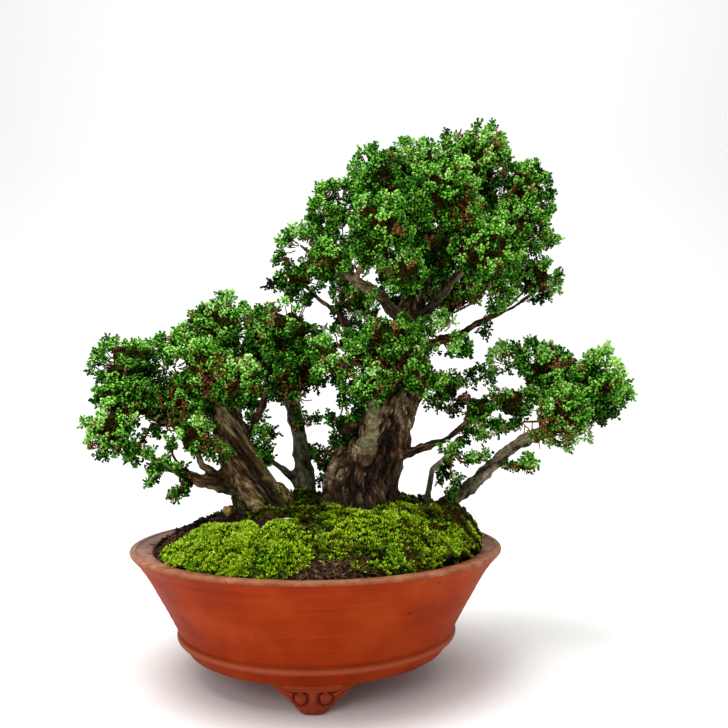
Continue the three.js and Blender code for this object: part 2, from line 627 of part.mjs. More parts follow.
// ---------------------------------------------------------------------------------------------
// The build: wood first, then the ground with holes for it, then foliage round the twigs
// ---------------------------------------------------------------------------------------------
/** All limbs and twigs of one trunk, joined, and grown by `grow`. */
function trunk(name, grow = 0) {
  const { limbs, sides, ribs } = WOOD[name];
  const twigs = Object.values(CLUSTERS)
    .filter(([carrier]) => carrier === name)
    .map(([, , first]) => twigTo(first, limbs))
    .filter(([from, , to]) => Math.hypot(from[0] - to[0], from[1] - to[1], from[2] - to[2]) > 9);
  return joined([
    limb(limbs[0], sides, ribs, grow),
    ...limbs.slice(1).map((points) => limb(points, LIMB_SIDES, 0, grow)),
    ...twigs.map((points) => limb(points, TWIG_SIDES, 0, grow)),
  ]);
}

const wood = new Map(Object.keys(WOOD).map((name) => [name, trunk(name)]));
const clearance = [...wood.keys()].map((name) => trunk(name, GAP));

const solids = new Map();
solids.set("pot", [pot(), "clay"]);
solids.set("drain_screen", [drainScreen(), "screen"]);
solids.set("soil", [clearance.reduce((rest, stem) => rest.subtract(stem), soilBlock()), "soil"]);
for (const [name, solid] of wood) solids.set(name, [solid, WOOD[name].colour]);

solids.set("pebble", [pebbleStone(), "pebble"]);
const cushions = [];
const aroundCushions = [groundClearance(), pebbleStone(GAP), ...clearance];
for (const [name, patch] of Object.entries(MOSS)) {
  const cushion = aroundCushions.reduce((rest, other) => rest.subtract(other), mossCushion(name, patch));
  cushions.push(largestBody(cushion));
  aroundCushions.push(mossCushion(name, patch, 2 * GAP));
  solids.set(name, [cushions.at(-1), patch.colour]);
}

const clusters = new Map();
for (const [name, [, , ...parts]] of Object.entries(CLUSTERS)) clusters.set(name, clusterCore(name, parts));
for (const [name, [, colour, ...parts]] of Object.entries(CLUSTERS)) {
  const others = [...clusters].filter(([other]) => other !== name).map(([, solid]) => solid);
  clusters.set(name, cluster(name, parts, [...others, ...cushions], clearance));
  solids.set(name, [clusters.get(name), colour]);
}

const plant = new THREE.Group();
for (const [name, [solid, colour]] of solids) {
  const material = new THREE.MeshStandardMaterial({ color: COLOUR[colour], roughness: 0.85, metalness: 0 });
  const mesh = new THREE.Mesh(geometryOf(solid), material);
  mesh.name = name;
  plant.add(mesh);
}
const box = new THREE.Box3().setFromObject(plant);
plant.position.set(-(box.min.x + box.max.x) / 2, -(box.min.y + box.max.y) / 2, -box.min.z);

export default plant;
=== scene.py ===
# %% [markdown]
# # A hinoki cypress bonsai in a red-clay pot
# The tree has four trunks from one root, rounded pads of scale-leaved foliage, a mound of moss, and a wide
# unglazed pot on three scroll feet. The imported model gives every piece its place. This script gives each
# one its fine surface: thousands of small sprigs of foliage, fissured bark, tufts of moss, crumbs of soil
# and clay that was turned on a wheel.
#
# The imported model comes first, because everything else is fitted to it.

# %% Load the imported model
import json
import math

import bmesh
import bpy
import numpy as np
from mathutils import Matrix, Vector

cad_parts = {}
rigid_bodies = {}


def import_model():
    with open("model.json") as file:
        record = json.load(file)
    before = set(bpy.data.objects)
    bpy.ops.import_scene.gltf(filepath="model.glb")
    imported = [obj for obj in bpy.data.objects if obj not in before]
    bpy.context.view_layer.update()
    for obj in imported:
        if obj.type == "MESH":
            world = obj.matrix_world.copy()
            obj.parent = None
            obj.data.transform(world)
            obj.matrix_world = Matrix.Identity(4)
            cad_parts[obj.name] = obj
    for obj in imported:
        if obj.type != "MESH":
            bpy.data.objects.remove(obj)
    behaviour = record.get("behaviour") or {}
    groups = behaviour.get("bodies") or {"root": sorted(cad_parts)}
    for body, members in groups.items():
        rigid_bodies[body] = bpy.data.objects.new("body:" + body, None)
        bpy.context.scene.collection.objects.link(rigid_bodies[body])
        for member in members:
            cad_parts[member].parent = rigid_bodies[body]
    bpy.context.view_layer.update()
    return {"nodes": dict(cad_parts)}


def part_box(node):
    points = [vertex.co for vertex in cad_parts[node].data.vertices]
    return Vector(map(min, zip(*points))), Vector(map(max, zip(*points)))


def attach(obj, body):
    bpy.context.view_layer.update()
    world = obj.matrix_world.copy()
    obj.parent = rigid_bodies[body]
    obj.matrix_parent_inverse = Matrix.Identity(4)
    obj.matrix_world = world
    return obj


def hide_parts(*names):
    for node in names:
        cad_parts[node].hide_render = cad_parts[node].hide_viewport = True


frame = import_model()

# %% [markdown]
# ## Units and the pot's axis
# The sizes below are in millimetres, measured from the pot's axis with the feet on the ground, because a
# potter and a gardener would both measure from there. One function turns them into Blender's metres. The
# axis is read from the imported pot, so the layout moves with it.

# %% Millimetres round the pot's axis
MM = 0.001
pot_low, pot_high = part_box("pot")
AXIS = np.array([(pot_low.x + pot_high.x) / 2, (pot_low.y + pot_high.y) / 2, 0.0])


def metres(points):
    """Turns points in millimetres round the pot's axis into metres in the scene: p / 1000 + axis."""
    return np.asarray(points, float) * MM + AXIS


def millimetres(points):
    """The reverse: (p - axis) * 1000."""
    return (np.asarray(points, float) - AXIS) / MM


print("the pot's axis stands at x =", round(AXIS[0], 4), "y =", round(AXIS[1], 4))

# %% [markdown]
# ## Camera, floor and light
# The camera stands low and close, a little above the pot's rim, and looks up by three degrees, so the rim
# is seen as a flat ellipse. The floor is a pale sheet that curves up behind the tree, as a roll of studio
# paper does, so no edge shows. Three large soft lamps and a bright surrounding give gentle shadows, and a
# fourth lights the sheet behind the tree.

# %% Camera
EYE = (27.9, -449.4, 155.6)
LOOKS_UP = 3.31  # degrees
LENS = 35.9  # mm, behind which the sensor is 36 mm wide
camera_data = bpy.data.cameras.new("camera")
camera_data.sensor_width = 36
camera_data.lens = LENS
camera_data.clip_start = 0.01
camera = bpy.data.objects.new("camera", camera_data)
camera.location = metres(EYE)
camera.rotation_euler = (math.radians(90 + LOOKS_UP), 0, 0)
bpy.context.scene.collection.objects.link(camera)
bpy.context.scene.camera = camera
print("camera at", [round(v, 3) for v in camera.location])


# %% Colours and nodes
def linear(code):
    """An sRGB hex colour as linear red, green and blue, with alpha 1: c / 12.92 below 0.04045, otherwise
    ((c + 0.055) / 1.055) ^ 2.4."""
    channels = np.array([int(code[i : i + 2], 16) for i in (1, 3, 5)]) / 255
    curved = np.where(channels < 0.04045, channels / 12.92, ((channels + 0.055) / 1.055) ** 2.4)
    return (*curved.tolist(), 1.0)


def add(material, kind, inputs=None, stops=None, **settings):
    """Adds one node. `settings` are its own properties. `inputs` gives sockets a value, or a (node,
    output) pair to link from. `stops` fills a colour ramp with (place, colour) pairs. A socket goes by
    its number where two share a name: 1 to 4 of a Map Range are the ends it maps from and the ends it
    maps to, and 6 and 7 of a colour Mix are the colour below and the one laid over it."""
    tree = material.node_tree
    node = tree.nodes.new("ShaderNode" + kind)
    for key, value in settings.items():
        setattr(node, key, value)
    for key, value in (inputs or {}).items():
        if isinstance(value, tuple) and isinstance(value[0], bpy.types.Node):
            tree.links.new(value[0].outputs[value[1]], node.inputs[key])
        else:
            node.inputs[key].default_value = value
    for i, (place, colour) in enumerate(stops or []):
        ramp = node.color_ramp.elements
        stop = ramp[i] if i < len(ramp) else ramp.new(place)
        stop.position, stop.color = place, linear(colour)
    return node


def blank_material(name):
    """A material with no nodes yet."""
    material = bpy.data.materials.new(name)
    material.use_nodes = True
    material.node_tree.nodes.clear()
    return material


def cells(size):
    """The scale of a pattern with cells `size` mm wide: how many whole ones lie along a metre."""
    return round(1 / (size * MM))


print("clay red in linear light:", [round(c, 3) for c in linear("#8c2c09")])


# %% Floor and lamps
def paper_material():
    """Matt paper: the ordinary surface of a studio backdrop."""
    paper = blank_material("backdrop paper")
    shader = add(paper, "BsdfPrincipled", {"Base Color": linear("#f1f1ef"), "Roughness": 0.9})
    add(paper, "OutputMaterial", {"Surface": (shader, "BSDF")})
    return paper


SHEET_FRONT, SHEET_BACK = -4.0, 0.8  # in metres: how far the flat part reaches towards the camera and back
SHEET_BEND = 0.9
SHEET_TOP = 4.5
SHEET_HALF_WIDTH = 5.0


def backdrop():
    """A sheet: flat on the ground, then a quarter turn with the radius of the bend, then straight up. Its
    section is a path (y, z), carried along x."""
    bend = np.linspace(0, np.pi / 2, 24)
    ys = np.concatenate([[SHEET_FRONT, SHEET_BACK], SHEET_BACK + SHEET_BEND * np.sin(bend)])
    ys = np.append(ys, SHEET_BACK + SHEET_BEND)
    zs = np.concatenate([[0.0, 0.0], SHEET_BEND * (1 - np.cos(bend)), [SHEET_TOP]])
    count = len(ys)
    xs = np.repeat([-SHEET_HALF_WIDTH, SHEET_HALF_WIDTH], count)
    faces = [(i, count + i, count + i + 1, i + 1) for i in range(count - 1)]
    mesh = bpy.data.meshes.new("backdrop")
    mesh.from_pydata(np.stack([xs, np.tile(ys, 2), np.tile(zs, 2)], 1).tolist(), [], faces)
    mesh.polygons.foreach_set("use_smooth", [True] * len(faces))
    mesh.materials.append(paper_material())
    sheet = bpy.data.objects.new("backdrop", mesh)
    bpy.context.scene.collection.objects.link(sheet)
    return sheet


backdrop()


def lamp(name, place, target, size, watts):
    """A square soft lamp at `place`, turned to face `target`, both in metres."""
    data = bpy.data.lights.new(name, "AREA")
    data.size, data.energy = size, watts
    light = bpy.data.objects.new(name, data)
    light.location = place
    light.rotation_euler = (Vector(target) - Vector(place)).to_track_quat("-Z", "Y").to_euler()
    bpy.context.scene.collection.objects.link(light)


TREE = (0, 0, 0.15)
lamp("overhead softbox", (-0.3, -0.3, 1.25), TREE, 0.8, 14.5)
lamp("front softbox", (-0.8, -1.2, 0.8), TREE, 0.8, 6)
lamp("right fill", (1.2, -0.5, 0.6), TREE, 0.8, 0.7)
lamp("backdrop lamp", (0, 0.4, 2.9), (0, 1.5, 0.2), 3.0, 60)
world = bpy.data.worlds.new("bright room")
world.use_nodes = True
world.node_tree.nodes["Background"].inputs["Color"].default_value = linear("#f4f6f8")
world.node_tree.nodes["Background"].inputs["Strength"].default_value = 0.45
bpy.context.scene.world = world
bpy.context.scene.view_settings.view_transform = "Standard"
print("lamps:", [light.name for light in bpy.data.lights])

# %% [markdown]
# ## Tools for surfaces
# Every new piece is an array of points and a few arrays of faces, worked out by numpy and handed to Blender
# in one go. Sculpting would do for one tree, but arrays let a rule place thousands of leaves, and the same
# rule can be read and changed. Unevenness comes from a smooth random field.

# %% From arrays to a piece
TRIANGLES = {}


def piece(name, points, faces, material, node=None, slot=None, values=None, flat=False):
    """Makes an object from points in millimetres and a list of face arrays, each with 3 or 4 columns.
    `values` holds one number or one vector per point for each named attribute. The piece rides on the root
    body, and stands for `node` if one is given."""
    mesh = bpy.data.meshes.new(name)
    loops = np.concatenate([f.ravel() for f in faces])
    sizes = np.concatenate([np.full(len(f), f.shape[1]) for f in faces])
    mesh.vertices.add(len(points))
    mesh.vertices.foreach_set("co", metres(points).astype(np.float32).ravel())
    mesh.loops.add(len(loops))
    mesh.loops.foreach_set("vertex_index", loops.astype(np.int32))
    mesh.polygons.add(len(sizes))
    mesh.polygons.foreach_set("loop_start", (np.cumsum(sizes) - sizes).astype(np.int32))
    mesh.update(calc_edges=True)
    mesh.polygons.foreach_set("use_smooth", np.full(len(sizes), not flat))
    for key, numbers in (values or {}).items():
        numbers = np.asarray(numbers, np.float32)
        kind, field = ("FLOAT_VECTOR", "vector") if numbers.ndim == 2 else ("FLOAT", "value")
        attribute = mesh.attributes.new(key, kind, "POINT")
        attribute.data.foreach_set(field, numbers.ravel())
    mesh.materials.append(material)
    made = bpy.data.objects.new(name, mesh)
    bpy.context.scene.collection.objects.link(made)
    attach(made, "root")
    if node:
        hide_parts(node)
    TRIANGLES[name] = int((sizes - 2).sum())
    print(name, TRIANGLES[name], "triangles")


# %% Grids, closed forms and joined forms
def circle(count):
    """So many angles, evenly round a circle."""
    return np.linspace(0, 2 * np.pi, count, endpoint=False)


def grid_faces(rows, columns):
    """Four-cornered faces of a grid of points stored row by row. The last column joins the first."""
    i, j = np.meshgrid(np.arange(rows - 1), np.arange(columns), indexing="ij")
    k = (j + 1) % columns
    corners = [i * columns + j, i * columns + k, (i + 1) * columns + k, (i + 1) * columns + j]
    return np.stack(corners, -1).reshape(-1, 4)


def closed_form(rings, ends=None, reverse=False):
    """A tube of rings, an array (ring, corner, 3), closed by a fan of triangles from one more point at
    each end: the ring's mean, or the `ends` given. `reverse` turns the faces round, for rings that run
    the other way. Returns points and faces."""
    count, sides = rings.shape[:2]
    if ends is None:
        ends = rings[[0, -1]].mean(1)
    points = np.concatenate([rings.reshape(-1, 3), ends])
    ring, after = np.arange(sides), (np.arange(sides) + 1) % sides
    centre, last = np.full(sides, count * sides), (count - 1) * sides
    fans = np.concatenate([np.stack([centre, after, ring], 1),
                           np.stack([centre + 1, last + ring, last + after], 1)])
    quads = grid_faces(count, sides)
    return points, [quads[:, ::-1], fans[:, [0, 2, 1]]] if reverse else [quads, fans]


def joined(forms):
    """Puts forms together. Each is its points, its face arrays and its values by name. The numbers in
    the faces move up by the points before them, and a single value goes to all points of its form."""
    starts = np.cumsum([0, *(len(points) for points, _, _ in forms)])
    faces = [array + start for (_, arrays, _), start in zip(forms, starts) for array in arrays]
    values = {}
    for key in forms[0][2]:
        spread = [np.broadcast_to(named[key], (len(points), *np.shape(named[key])[1:]))
                  for points, _, named in forms]
        values[key] = np.concatenate(spread)
    return np.concatenate([points for points, _, _ in forms]), faces, values


print("a closed tube of 4 rings of 6 has", sum(map(len, closed_form(np.zeros((4, 6, 3)))[1])), "faces")


# %% Smooth random fields
def noise(points, size, seed=0, octaves=3):
    """A smooth random number from about -1 to 1 at each point. Each corner of a lattice with cells of
    `size` has a number mixed from its three whole coordinates, and a point takes the blend of its eight
    corners. Each further octave has half the size and half the weight."""
    points = np.asarray(points, float)
    total, weight = np.zeros(len(points)), 1.0
    for octave in range(octaves):
        scaled = points / (np.asarray(size, float) / 2**octave) + 17.3 * octave
        cell = np.floor(scaled).astype(np.int64)
        part = scaled - cell
        blend = part * part * (3 - 2 * part)
        value = np.zeros(len(points))
        for corner in range(8):
            offset = np.array([corner & 1, corner >> 1 & 1, corner >> 2 & 1])
            x, y, z = (cell + offset).T
            mixed = (x * 374761393 + y * 668265263 + z * 1442695041 + (seed + octave) * 144665) & 0xFFFFFFFF
            mixed = ((mixed ^ (mixed >> 13)) * 1274126177) & 0xFFFFFFFF
            share = np.prod(np.where(offset, blend, 1 - blend), 1)
            value += share * (((mixed ^ (mixed >> 16)) & 0xFFFF) / 32767.5 - 1)
        total += weight * value
        weight /= 2
    return total * 1.3


def smooth_step(value, low, high):
    """0 below `low`, 1 above `high`, and 3t^2 - 2t^3 between them."""
    t = np.clip((value - low) / (high - low), 0, 1)
    return t * t * (3 - 2 * t)


def ditch(distance, width):
    """A narrow dip or line, 1 in its middle: exp(-(distance / width)^2)."""
    return np.exp(-((distance / width) ** 2))


print("the field at one place:", noise(np.ones((1, 3)), 7).round(3))

# %% [markdown]
# ## The pot's shape
# A pot like this is thrown or jiggered on a wheel, so its wall is one profile turned round an axis. The
# profile below gives each corner a radius, a height and how softly it is rounded. A Screw modifier could
# turn it too, but a formula can also warp it, as the kiln did.


# %% Pot: the turned body
def rounded(corners, step):
    """A path through (r, z, softness) corners: straight stretches, and at each corner a curve that
    starts and ends `softness` away from it, q(t) = (1-t)^2 a + 2t(1-t) c + t^2 b. Points lie about
    `step` apart."""
    corners = np.asarray(corners, float)
    path = [corners[0, :2]]
    for before, here, after in zip(corners, corners[1:], corners[2:]):
        a = here[:2] + (before[:2] - here[:2]) * min(0.45, here[2] / np.hypot(*(before - here)[:2]))
        b = here[:2] + (after[:2] - here[:2]) * min(0.45, here[2] / np.hypot(*(after - here)[:2]))
        t = np.linspace(0, 1, 5)[:, None]
        path.extend((1 - t) ** 2 * a + 2 * t * (1 - t) * here[:2] + t**2 * b)
    path.append(corners[-1, :2])
    path = np.array(path)
    dense = [path[:1]]
    for a, b in zip(path, path[1:]):
        pieces = max(1, int(np.hypot(*(b - a)) / step))
        dense.append(a + (b - a) * np.linspace(0, 1, pieces + 1)[1:, None])
    return np.concatenate(dense)


OUTSIDE = [
    (70.0, 16.0, 0), (72.5, 15.8, 0.8), (74.3, 15.0, 0.7), (76.2, 15.0, 0.7), (77.6, 17.0, 1.2),
    (80.0, 20.8, 0.6), (80.9, 21.0, 0.4), (82.9, 22.4, 1.0), (82.9, 24.6, 1.0), (81.4, 26.2, 0.4),
    (82.4, 27.2, 0.8), (92.6, 46.0, 6), (98.4, 56.0, 5), (104.4, 65.4, 4), (108.8, 70.0, 1.5),
    (110.0, 71.4, 0.8), (109.7, 73.0, 0.8), (106.6, 73.2, 0.6), (106.0, 72.3, 0.5), (104.6, 72.2, 0.5),
    (97.4, 71.5, 1.2), (95.0, 67.0, 1.5), (90.0, 55.0, 0),
]
INSIDE = [
    (90.0, 55.0, 0), (77.0, 28.0, 4), (71.0, 22.0, 3), (9.0, 21.5, 0.4), (9.0, 16.0, 0.4), (70.0, 16.0, 0),
]
POT_TURNS = 192
RIM_RADIUS = 110
FRONT_LIFT = 1.6  # the kiln warped the rim: it stands this much higher at the front


def turned_body():
    """The profile (r, z) turned round the axis: (r cos a, r sin a, z). Fine rings from the potter's rib
    are added to r as sines of z, the whole is out of round by a third of a millimetre, and the rim
    stands higher at the front."""
    outside, inside = rounded(OUTSIDE, 2.3), rounded(INSIDE, 8)[1:-1]
    path = np.concatenate([outside, inside])
    wall = smooth_step(path[:, 1], 26, 30) * (1 - smooth_step(path[:, 1], 66, 69))
    wall[len(outside) :] = 0
    rings = wall * (0.09 * np.sin(path[:, 1] * 2.9) + 0.07 * np.sin(path[:, 1] * 1.37 + 2))
    angle = circle(POT_TURNS)
    wobble = 0.18 * np.sin(2 * angle + 0.7) + 0.1 * np.sin(3 * angle)
    share = np.clip(path[:, 0] / RIM_RADIUS, 0, 1) ** 2 * (path[:, 1] > 30)
    radius = (path[:, 0] + rings)[:, None] + wobble[None, :] * share[:, None]
    lift = FRONT_LIFT * (0.5 - 0.5 * np.sin(angle)) ** 2 + 0.12 * np.sin(2 * angle + 1.9)
    rise = path[:, 1][:, None] + lift[None, :] * share[:, None]
    points = np.stack([radius * np.cos(angle), radius * np.sin(angle), rise], -1).reshape(-1, 3)
    closing = grid_faces(2, POT_TURNS)
    last = (len(path) - 1) * POT_TURNS
    closing = np.where(closing < POT_TURNS, closing + last, closing - POT_TURNS)
    return points, [grid_faces(len(path), POT_TURNS), closing]


body_points, body_faces = turned_body()
print("pot body:", len(body_points), "points")

# %% [markdown]
# ## The scroll feet
# The feet are pressed in a mould and joined on while the clay is still soft. Each is built as a stack of
# flat loops from its toe up into the base. A loop is a rounded box: a superellipse whose width follows the
# fan-shaped outline. The front is then raised by soft bumps: a scroll on each side, a nose between them,
# and a brow that sweeps out over each wing. As a formula the carving is smooth at any fineness of the net.

# %% Pot: the carving of a foot
FOOT_LEVELS = 62
FOOT_FRONT, FOOT_BACK = 92, 14  # points along the front and the back of each loop
FOOT_FACE = 76.5  # radius of the base where the feet are joined on
FOOT_TURN = 1.8  # degrees
# Half the width of a foot at rising heights: a narrow chin, then wings that spread up to the base.
FOOT_OUTLINE = [
    (0.0, 6.0), (0.4, 6.9), (1.5, 8.2), (2.7, 9.4), (5.8, 12.3), (7.6, 14.6), (9.9, 18.2), (12.5, 21.2),
    (15, 23.4), (20, 23.6),
]
SCROLL_X, SCROLL_Z = 6.3, 8.5  # the eye of each scroll
WING_SLOPE = 0.62


def scroll_relief(x, z):
    """How far the carving stands out at (x, z). On each side a round scroll is ringed by a ditch and has
    a small spiral cut in it. A nose stands between them, a brow sweeps over each and out along the wing,
    and under it runs a ditch. A second ditch parts the wing from the scroll, and two short ones part the
    toes."""
    side = np.abs(x)
    from_eye = np.hypot(side - SCROLL_X, z - SCROLL_Z)
    turn = np.arctan2(z - SCROLL_Z, side - SCROLL_X)
    scroll = 1.7 * np.exp(-((from_eye / 2.9) ** 4)) - 1.5 * ditch(from_eye - 3.6, 0.5)
    spiral = -0.45 * ditch(from_eye - 1.2 - 0.18 * (turn + math.pi), 0.3) * (from_eye < 3)
    nose = 1.7 * np.exp(-((x / 1.9) ** 4)) * smooth_step(z, 3.5, 7) * (1 - smooth_step(z, 11, 13.5))
    brow_height = 12.4 + 0.028 * (side - 6) ** 2
    brow = 1.1 * ditch(z - brow_height, 0.9)
    brow -= 1.2 * ditch(z - brow_height + 1.4, 0.4) * smooth_step(side, 2, 4)
    rise = WING_SLOPE * (side - 9.5)
    wing = 0.9 * np.exp(-(((z - 9.2 - rise) / 1.4) ** 4)) * smooth_step(side, 9.5, 11)
    parting = -1.2 * ditch(z - 7.9 - rise, 0.4) * smooth_step(side, 9, 10)
    chin = 1.5 * np.exp(-((x / 6.2) ** 4) - ((z - 2.3) / 2.3) ** 4)
    chin -= 0.7 * ditch(side - 2.4, 0.45) * (z < 3.4)
    ledge = 0.7 * smooth_step(z, 14.4, 15.2)
    return scroll + spiral + nose + brow + wing + parting + chin + ledge


print("the nose stands out by", scroll_relief(np.zeros(1), np.full(1, 9.0)).round(2), "mm")


# %% Pot: the feet on the body
def foot_shape():
    """Loops at rising z. The front of a loop has x = w t and y = -d (1 - |t|^3.6)^0.28, with t from -1
    to 1, and the back is half an ellipse. The half width w follows the outline, and the carving pushes
    the front out. Returns points, faces, and how deep each point lies in a ditch."""
    z = np.concatenate([[0.0, 0.0], np.linspace(0.3, 19.5, FOOT_LEVELS - 2)])
    half = np.interp(z, *np.array(FOOT_OUTLINE).T)
    depth = 8.3 - 1.2 * np.exp(-z / 0.7)
    half[0], depth[0] = 1.0, 1.0
    s = np.linspace(-1, 1, FOOT_FRONT)
    t = 1.25 * s - 0.25 * s**3
    b = np.linspace(0, np.pi, FOOT_BACK + 2)[1:-1]
    across = np.concatenate([t, np.cos(b)])
    forth = np.concatenate([-((1 - np.abs(t) ** 3.6).clip(0) ** 0.28), np.sin(b) ** 0.55])
    x, local = half[:, None] * across[None], depth[:, None] * forth[None]
    rise = np.clip(z / 15, 0, 1)[:, None]
    front = smooth_step(-local, 0.5, 5)
    round_base = -np.sqrt(FOOT_FACE**2 - x**2) + 8.4
    relief = scroll_relief(x, z[:, None] + 0 * x) * front * (z > 0)[:, None]
    y = round_base + local + (1 - rise) * (2.4 * front - 1.6 * (1 - front)) - relief
    points, faces = closed_form(np.stack([x, y, z[:, None] + 0 * x], -1))
    return points, faces, np.append(np.clip(-relief.ravel() / 1.2, 0, 1), [0, 0])


def spun(points, degrees):
    """Points turned round the pot's axis: (x cos a - y sin a, x sin a + y cos a, z)."""
    a = math.radians(degrees)
    x, y, z = points.T
    return np.stack([x * math.cos(a) - y * math.sin(a), x * math.sin(a) + y * math.cos(a), z], 1)


foot_points, foot_faces, foot_ditches = foot_shape()
feet = [(spun(foot_points, degrees + FOOT_TURN), foot_faces, {"ditch": foot_ditches})
        for degrees in (0, 120, 240)]
pot_points, pot_faces, pot_values = joined([(body_points, body_faces, {"ditch": 0.0}), *feet])
print("pot with feet:", len(pot_points), "points")

# %% [markdown]
# ## Red clay
# The clay is an iron-rich stoneware fired without glaze. It is dense enough to have a faint satin sheen.
# Its colour wanders over a few centimetres, fine streaks run round it where the wheel turned, and a few
# burnt-out grains left dark pits. Handling and watering have greyed the flat rim. The band, the lip and
# the feet are painted lighter, as wear and as a painted highlight, and the ditches of the carving are
# painted dark as shade. All this is a matter of place, so the net carries how much of each there is at
# each point, and the material only mixes the colours.


# %% Material: unglazed red stoneware
def layered(material, colour, layers):
    """Lays colours over a first one. Each layer is a mask and a colour, hex or (node, output). The mask
    is a (node, output) or the name of an attribute, and where it is 1 the colour covers all below."""
    for mask, over in layers:
        if isinstance(mask, str):
            mask = (add(material, "Attribute", attribute_name=mask), "Fac")
        over = linear(over) if isinstance(over, str) else over
        colour = (add(material, "Mix", {"Factor": mask, 6: colour, 7: over}, data_type="RGBA"), 2)
    return colour


def red_stoneware():
    """Streaks: noise squeezed to 1.6 mm in height and 71 mm round. Pits: cells 17 mm apart with a heart
    2 mm wide. The attributes `rim`, `edge`, `aged` and `ditch` say where the clay is greyed, lighter with
    wear and a painted highlight, pale with dust, and painted dark as shade in the carving. Grit of 1 mm
    is coarser than real grit, so that it shows."""
    clay = blank_material("unglazed red stoneware")
    place = (add(clay, "TexCoord"), "Object")
    patches = add(clay, "TexNoise", {"Vector": place, "Scale": cells(36), "Detail": 3})
    body = add(clay, "ValToRGB", {"Fac": (patches, "Fac")},
               [(0.3, "#7c2307"), (0.5, "#8c2c09"), (0.7, "#9c3a11")])
    squeezed = add(clay, "Mapping", {"Vector": place, "Scale": (cells(71.4), cells(71.4), cells(1.613))})
    streaks = add(clay, "TexNoise", {"Vector": (squeezed, "Vector"), "Scale": 1, "Detail": 2})
    streaked = add(clay, "MapRange", {"Value": (streaks, "Fac"), 1: 0.45, 2: 0.8, 4: 0.34})
    scuffs = add(clay, "TexNoise", {"Vector": place, "Scale": cells(13.3), "Detail": 6, "Roughness": 0.7})
    scuffed = add(clay, "MapRange", {"Value": (scuffs, "Fac"), 1: 0.6, 2: 0.78, 4: 0.35})
    grime = add(clay, "TexNoise", {"Vector": place, "Scale": cells(6.25), "Detail": 5})
    grimy = add(clay, "ValToRGB", {"Fac": (grime, "Fac")},
                [(0.35, "#65432f"), (0.55, "#855b41"), (0.7, "#a17c5f")])
    grains = add(clay, "TexVoronoi", {"Vector": place, "Scale": cells(16.7), "Randomness": 1})
    pitted = add(clay, "MapRange", {"Value": (grains, "Distance"), 1: 0.055, 2: 0.08, 3: 0.85, 4: 0.0})
    # The layer by `edge` is wear with a painted highlight, and the one by `ditch` is painted shade.
    colour = layered(clay, (body, "Color"), [
        ((streaked, "Result"), "#a83c10"), ((scuffed, "Result"), "#ab5228"), ("rim", (grimy, "Color")),
        ("edge", "#b0654a"), ("aged", "#a5857a"), ("ditch", "#52180c"), ((pitted, "Result"), "#2e1710")])
    grit = add(clay, "TexNoise", {"Vector": place, "Scale": cells(1.111), "Detail": 4})
    fine = add(clay, "Bump", {"Height": (grit, "Fac"), "Strength": 0.25, "Distance": 0.2 * MM})
    ringed = add(clay, "Bump", {"Height": (streaks, "Fac"), "Strength": 0.25, "Distance": 0.3 * MM,
                                "Normal": (fine, "Normal")})
    sheen = add(clay, "MapRange", {"Value": (scuffs, "Fac"), 1: 0.3, 2: 0.7, 3: 0.42, 4: 0.6})
    shader = add(clay, "BsdfPrincipled", {"Base Color": colour, "Roughness": (sheen, "Result"), "IOR": 1.5,
                                          "Specular IOR Level": 0.03, "Normal": (ringed, "Normal")})
    add(clay, "OutputMaterial", {"Surface": (shader, "BSDF")})
    return clay


CLAY = red_stoneware()
print("clay:", len(CLAY.node_tree.nodes), "nodes")

# %% Pot: where the clay is worn
pot_radius = np.hypot(pot_points[:, 0], pot_points[:, 1])
pot_height = pot_points[:, 2]
warp = FRONT_LIFT * (0.5 - 0.5 * pot_points[:, 1] / pot_radius.clip(1)) ** 2 * (pot_height > 60)
level_height = pot_height - warp
on_rim = smooth_step(level_height, 70.6, 71.4) * smooth_step(pot_radius, 92, 96)
# Where the band, the lip and the feet are painted lighter: wear and a painted highlight.
on_band = ditch(pot_height - 23.9, 1.3) * (pot_radius > 81.6)
on_lip = ditch(level_height - 72.4, 0.9) * (pot_radius > 108.4)
on_feet = (pot_height < 15) * (pot_radius > 66)
pot_values["rim"] = on_rim * 0.85
pot_values["edge"] = 0.55 * np.clip(0.8 * on_band + 0.55 * on_lip + 0.35 * on_feet, 0, 1)
pot_values["aged"] = on_rim * 0.65 * smooth_step(pot_points[:, 1] - 0.5 * pot_points[:, 0], -30, 60)
# Painted shade: the ditches of the carving are painted dark.
pot_values["ditch"] = 0.6 * pot_values["ditch"]
piece("pot_fired", pot_points, pot_faces, CLAY, "pot", "clay", pot_values)

# %% [markdown]
# ## The ground
# The soil is a mound of dark, moist crumbs, high under the trunks and falling to just below the rim. It
# could be a displaced plane, but it has to fill the pot, so it is a disc of rings over the mound's height,
# roughened by a random field and closed along the pot's wall and floor.

# %% Ground: the mound
MOUTH_RADIUS = 97.0
SOIL_EDGE = 71.6
MOUND_HEIGHT = 23.0
SOIL_FLOOR = 23.2
# Radius and height of the soil's hidden rings, down the pot's wall and in over its floor.
HIDDEN_RINGS = np.array([(93, 66.5), (75.3, 29.0), (69, SOIL_FLOOR), (0.5, SOIL_FLOOR)])


def ground_height(x, y):
    """Height of the mound: edge + rise (1 - (r / mouth)^p), with low swells over it. The power p is 2.6
    on the left and grows to 6 on the right, where the mound stands full up to the rim."""
    share = np.clip(np.hypot(x, y) / MOUTH_RADIUS, 0, 1)
    power = 2.6 + 3.4 * smooth_step(x, 20, 80) * smooth_step(y, -75, -20)
    swells = 0.8 * np.sin(x / 11 + 1) * np.cos(y / 13) * (1 - share**4)
    return SOIL_EDGE + MOUND_HEIGHT * (1 - share**power) + swells


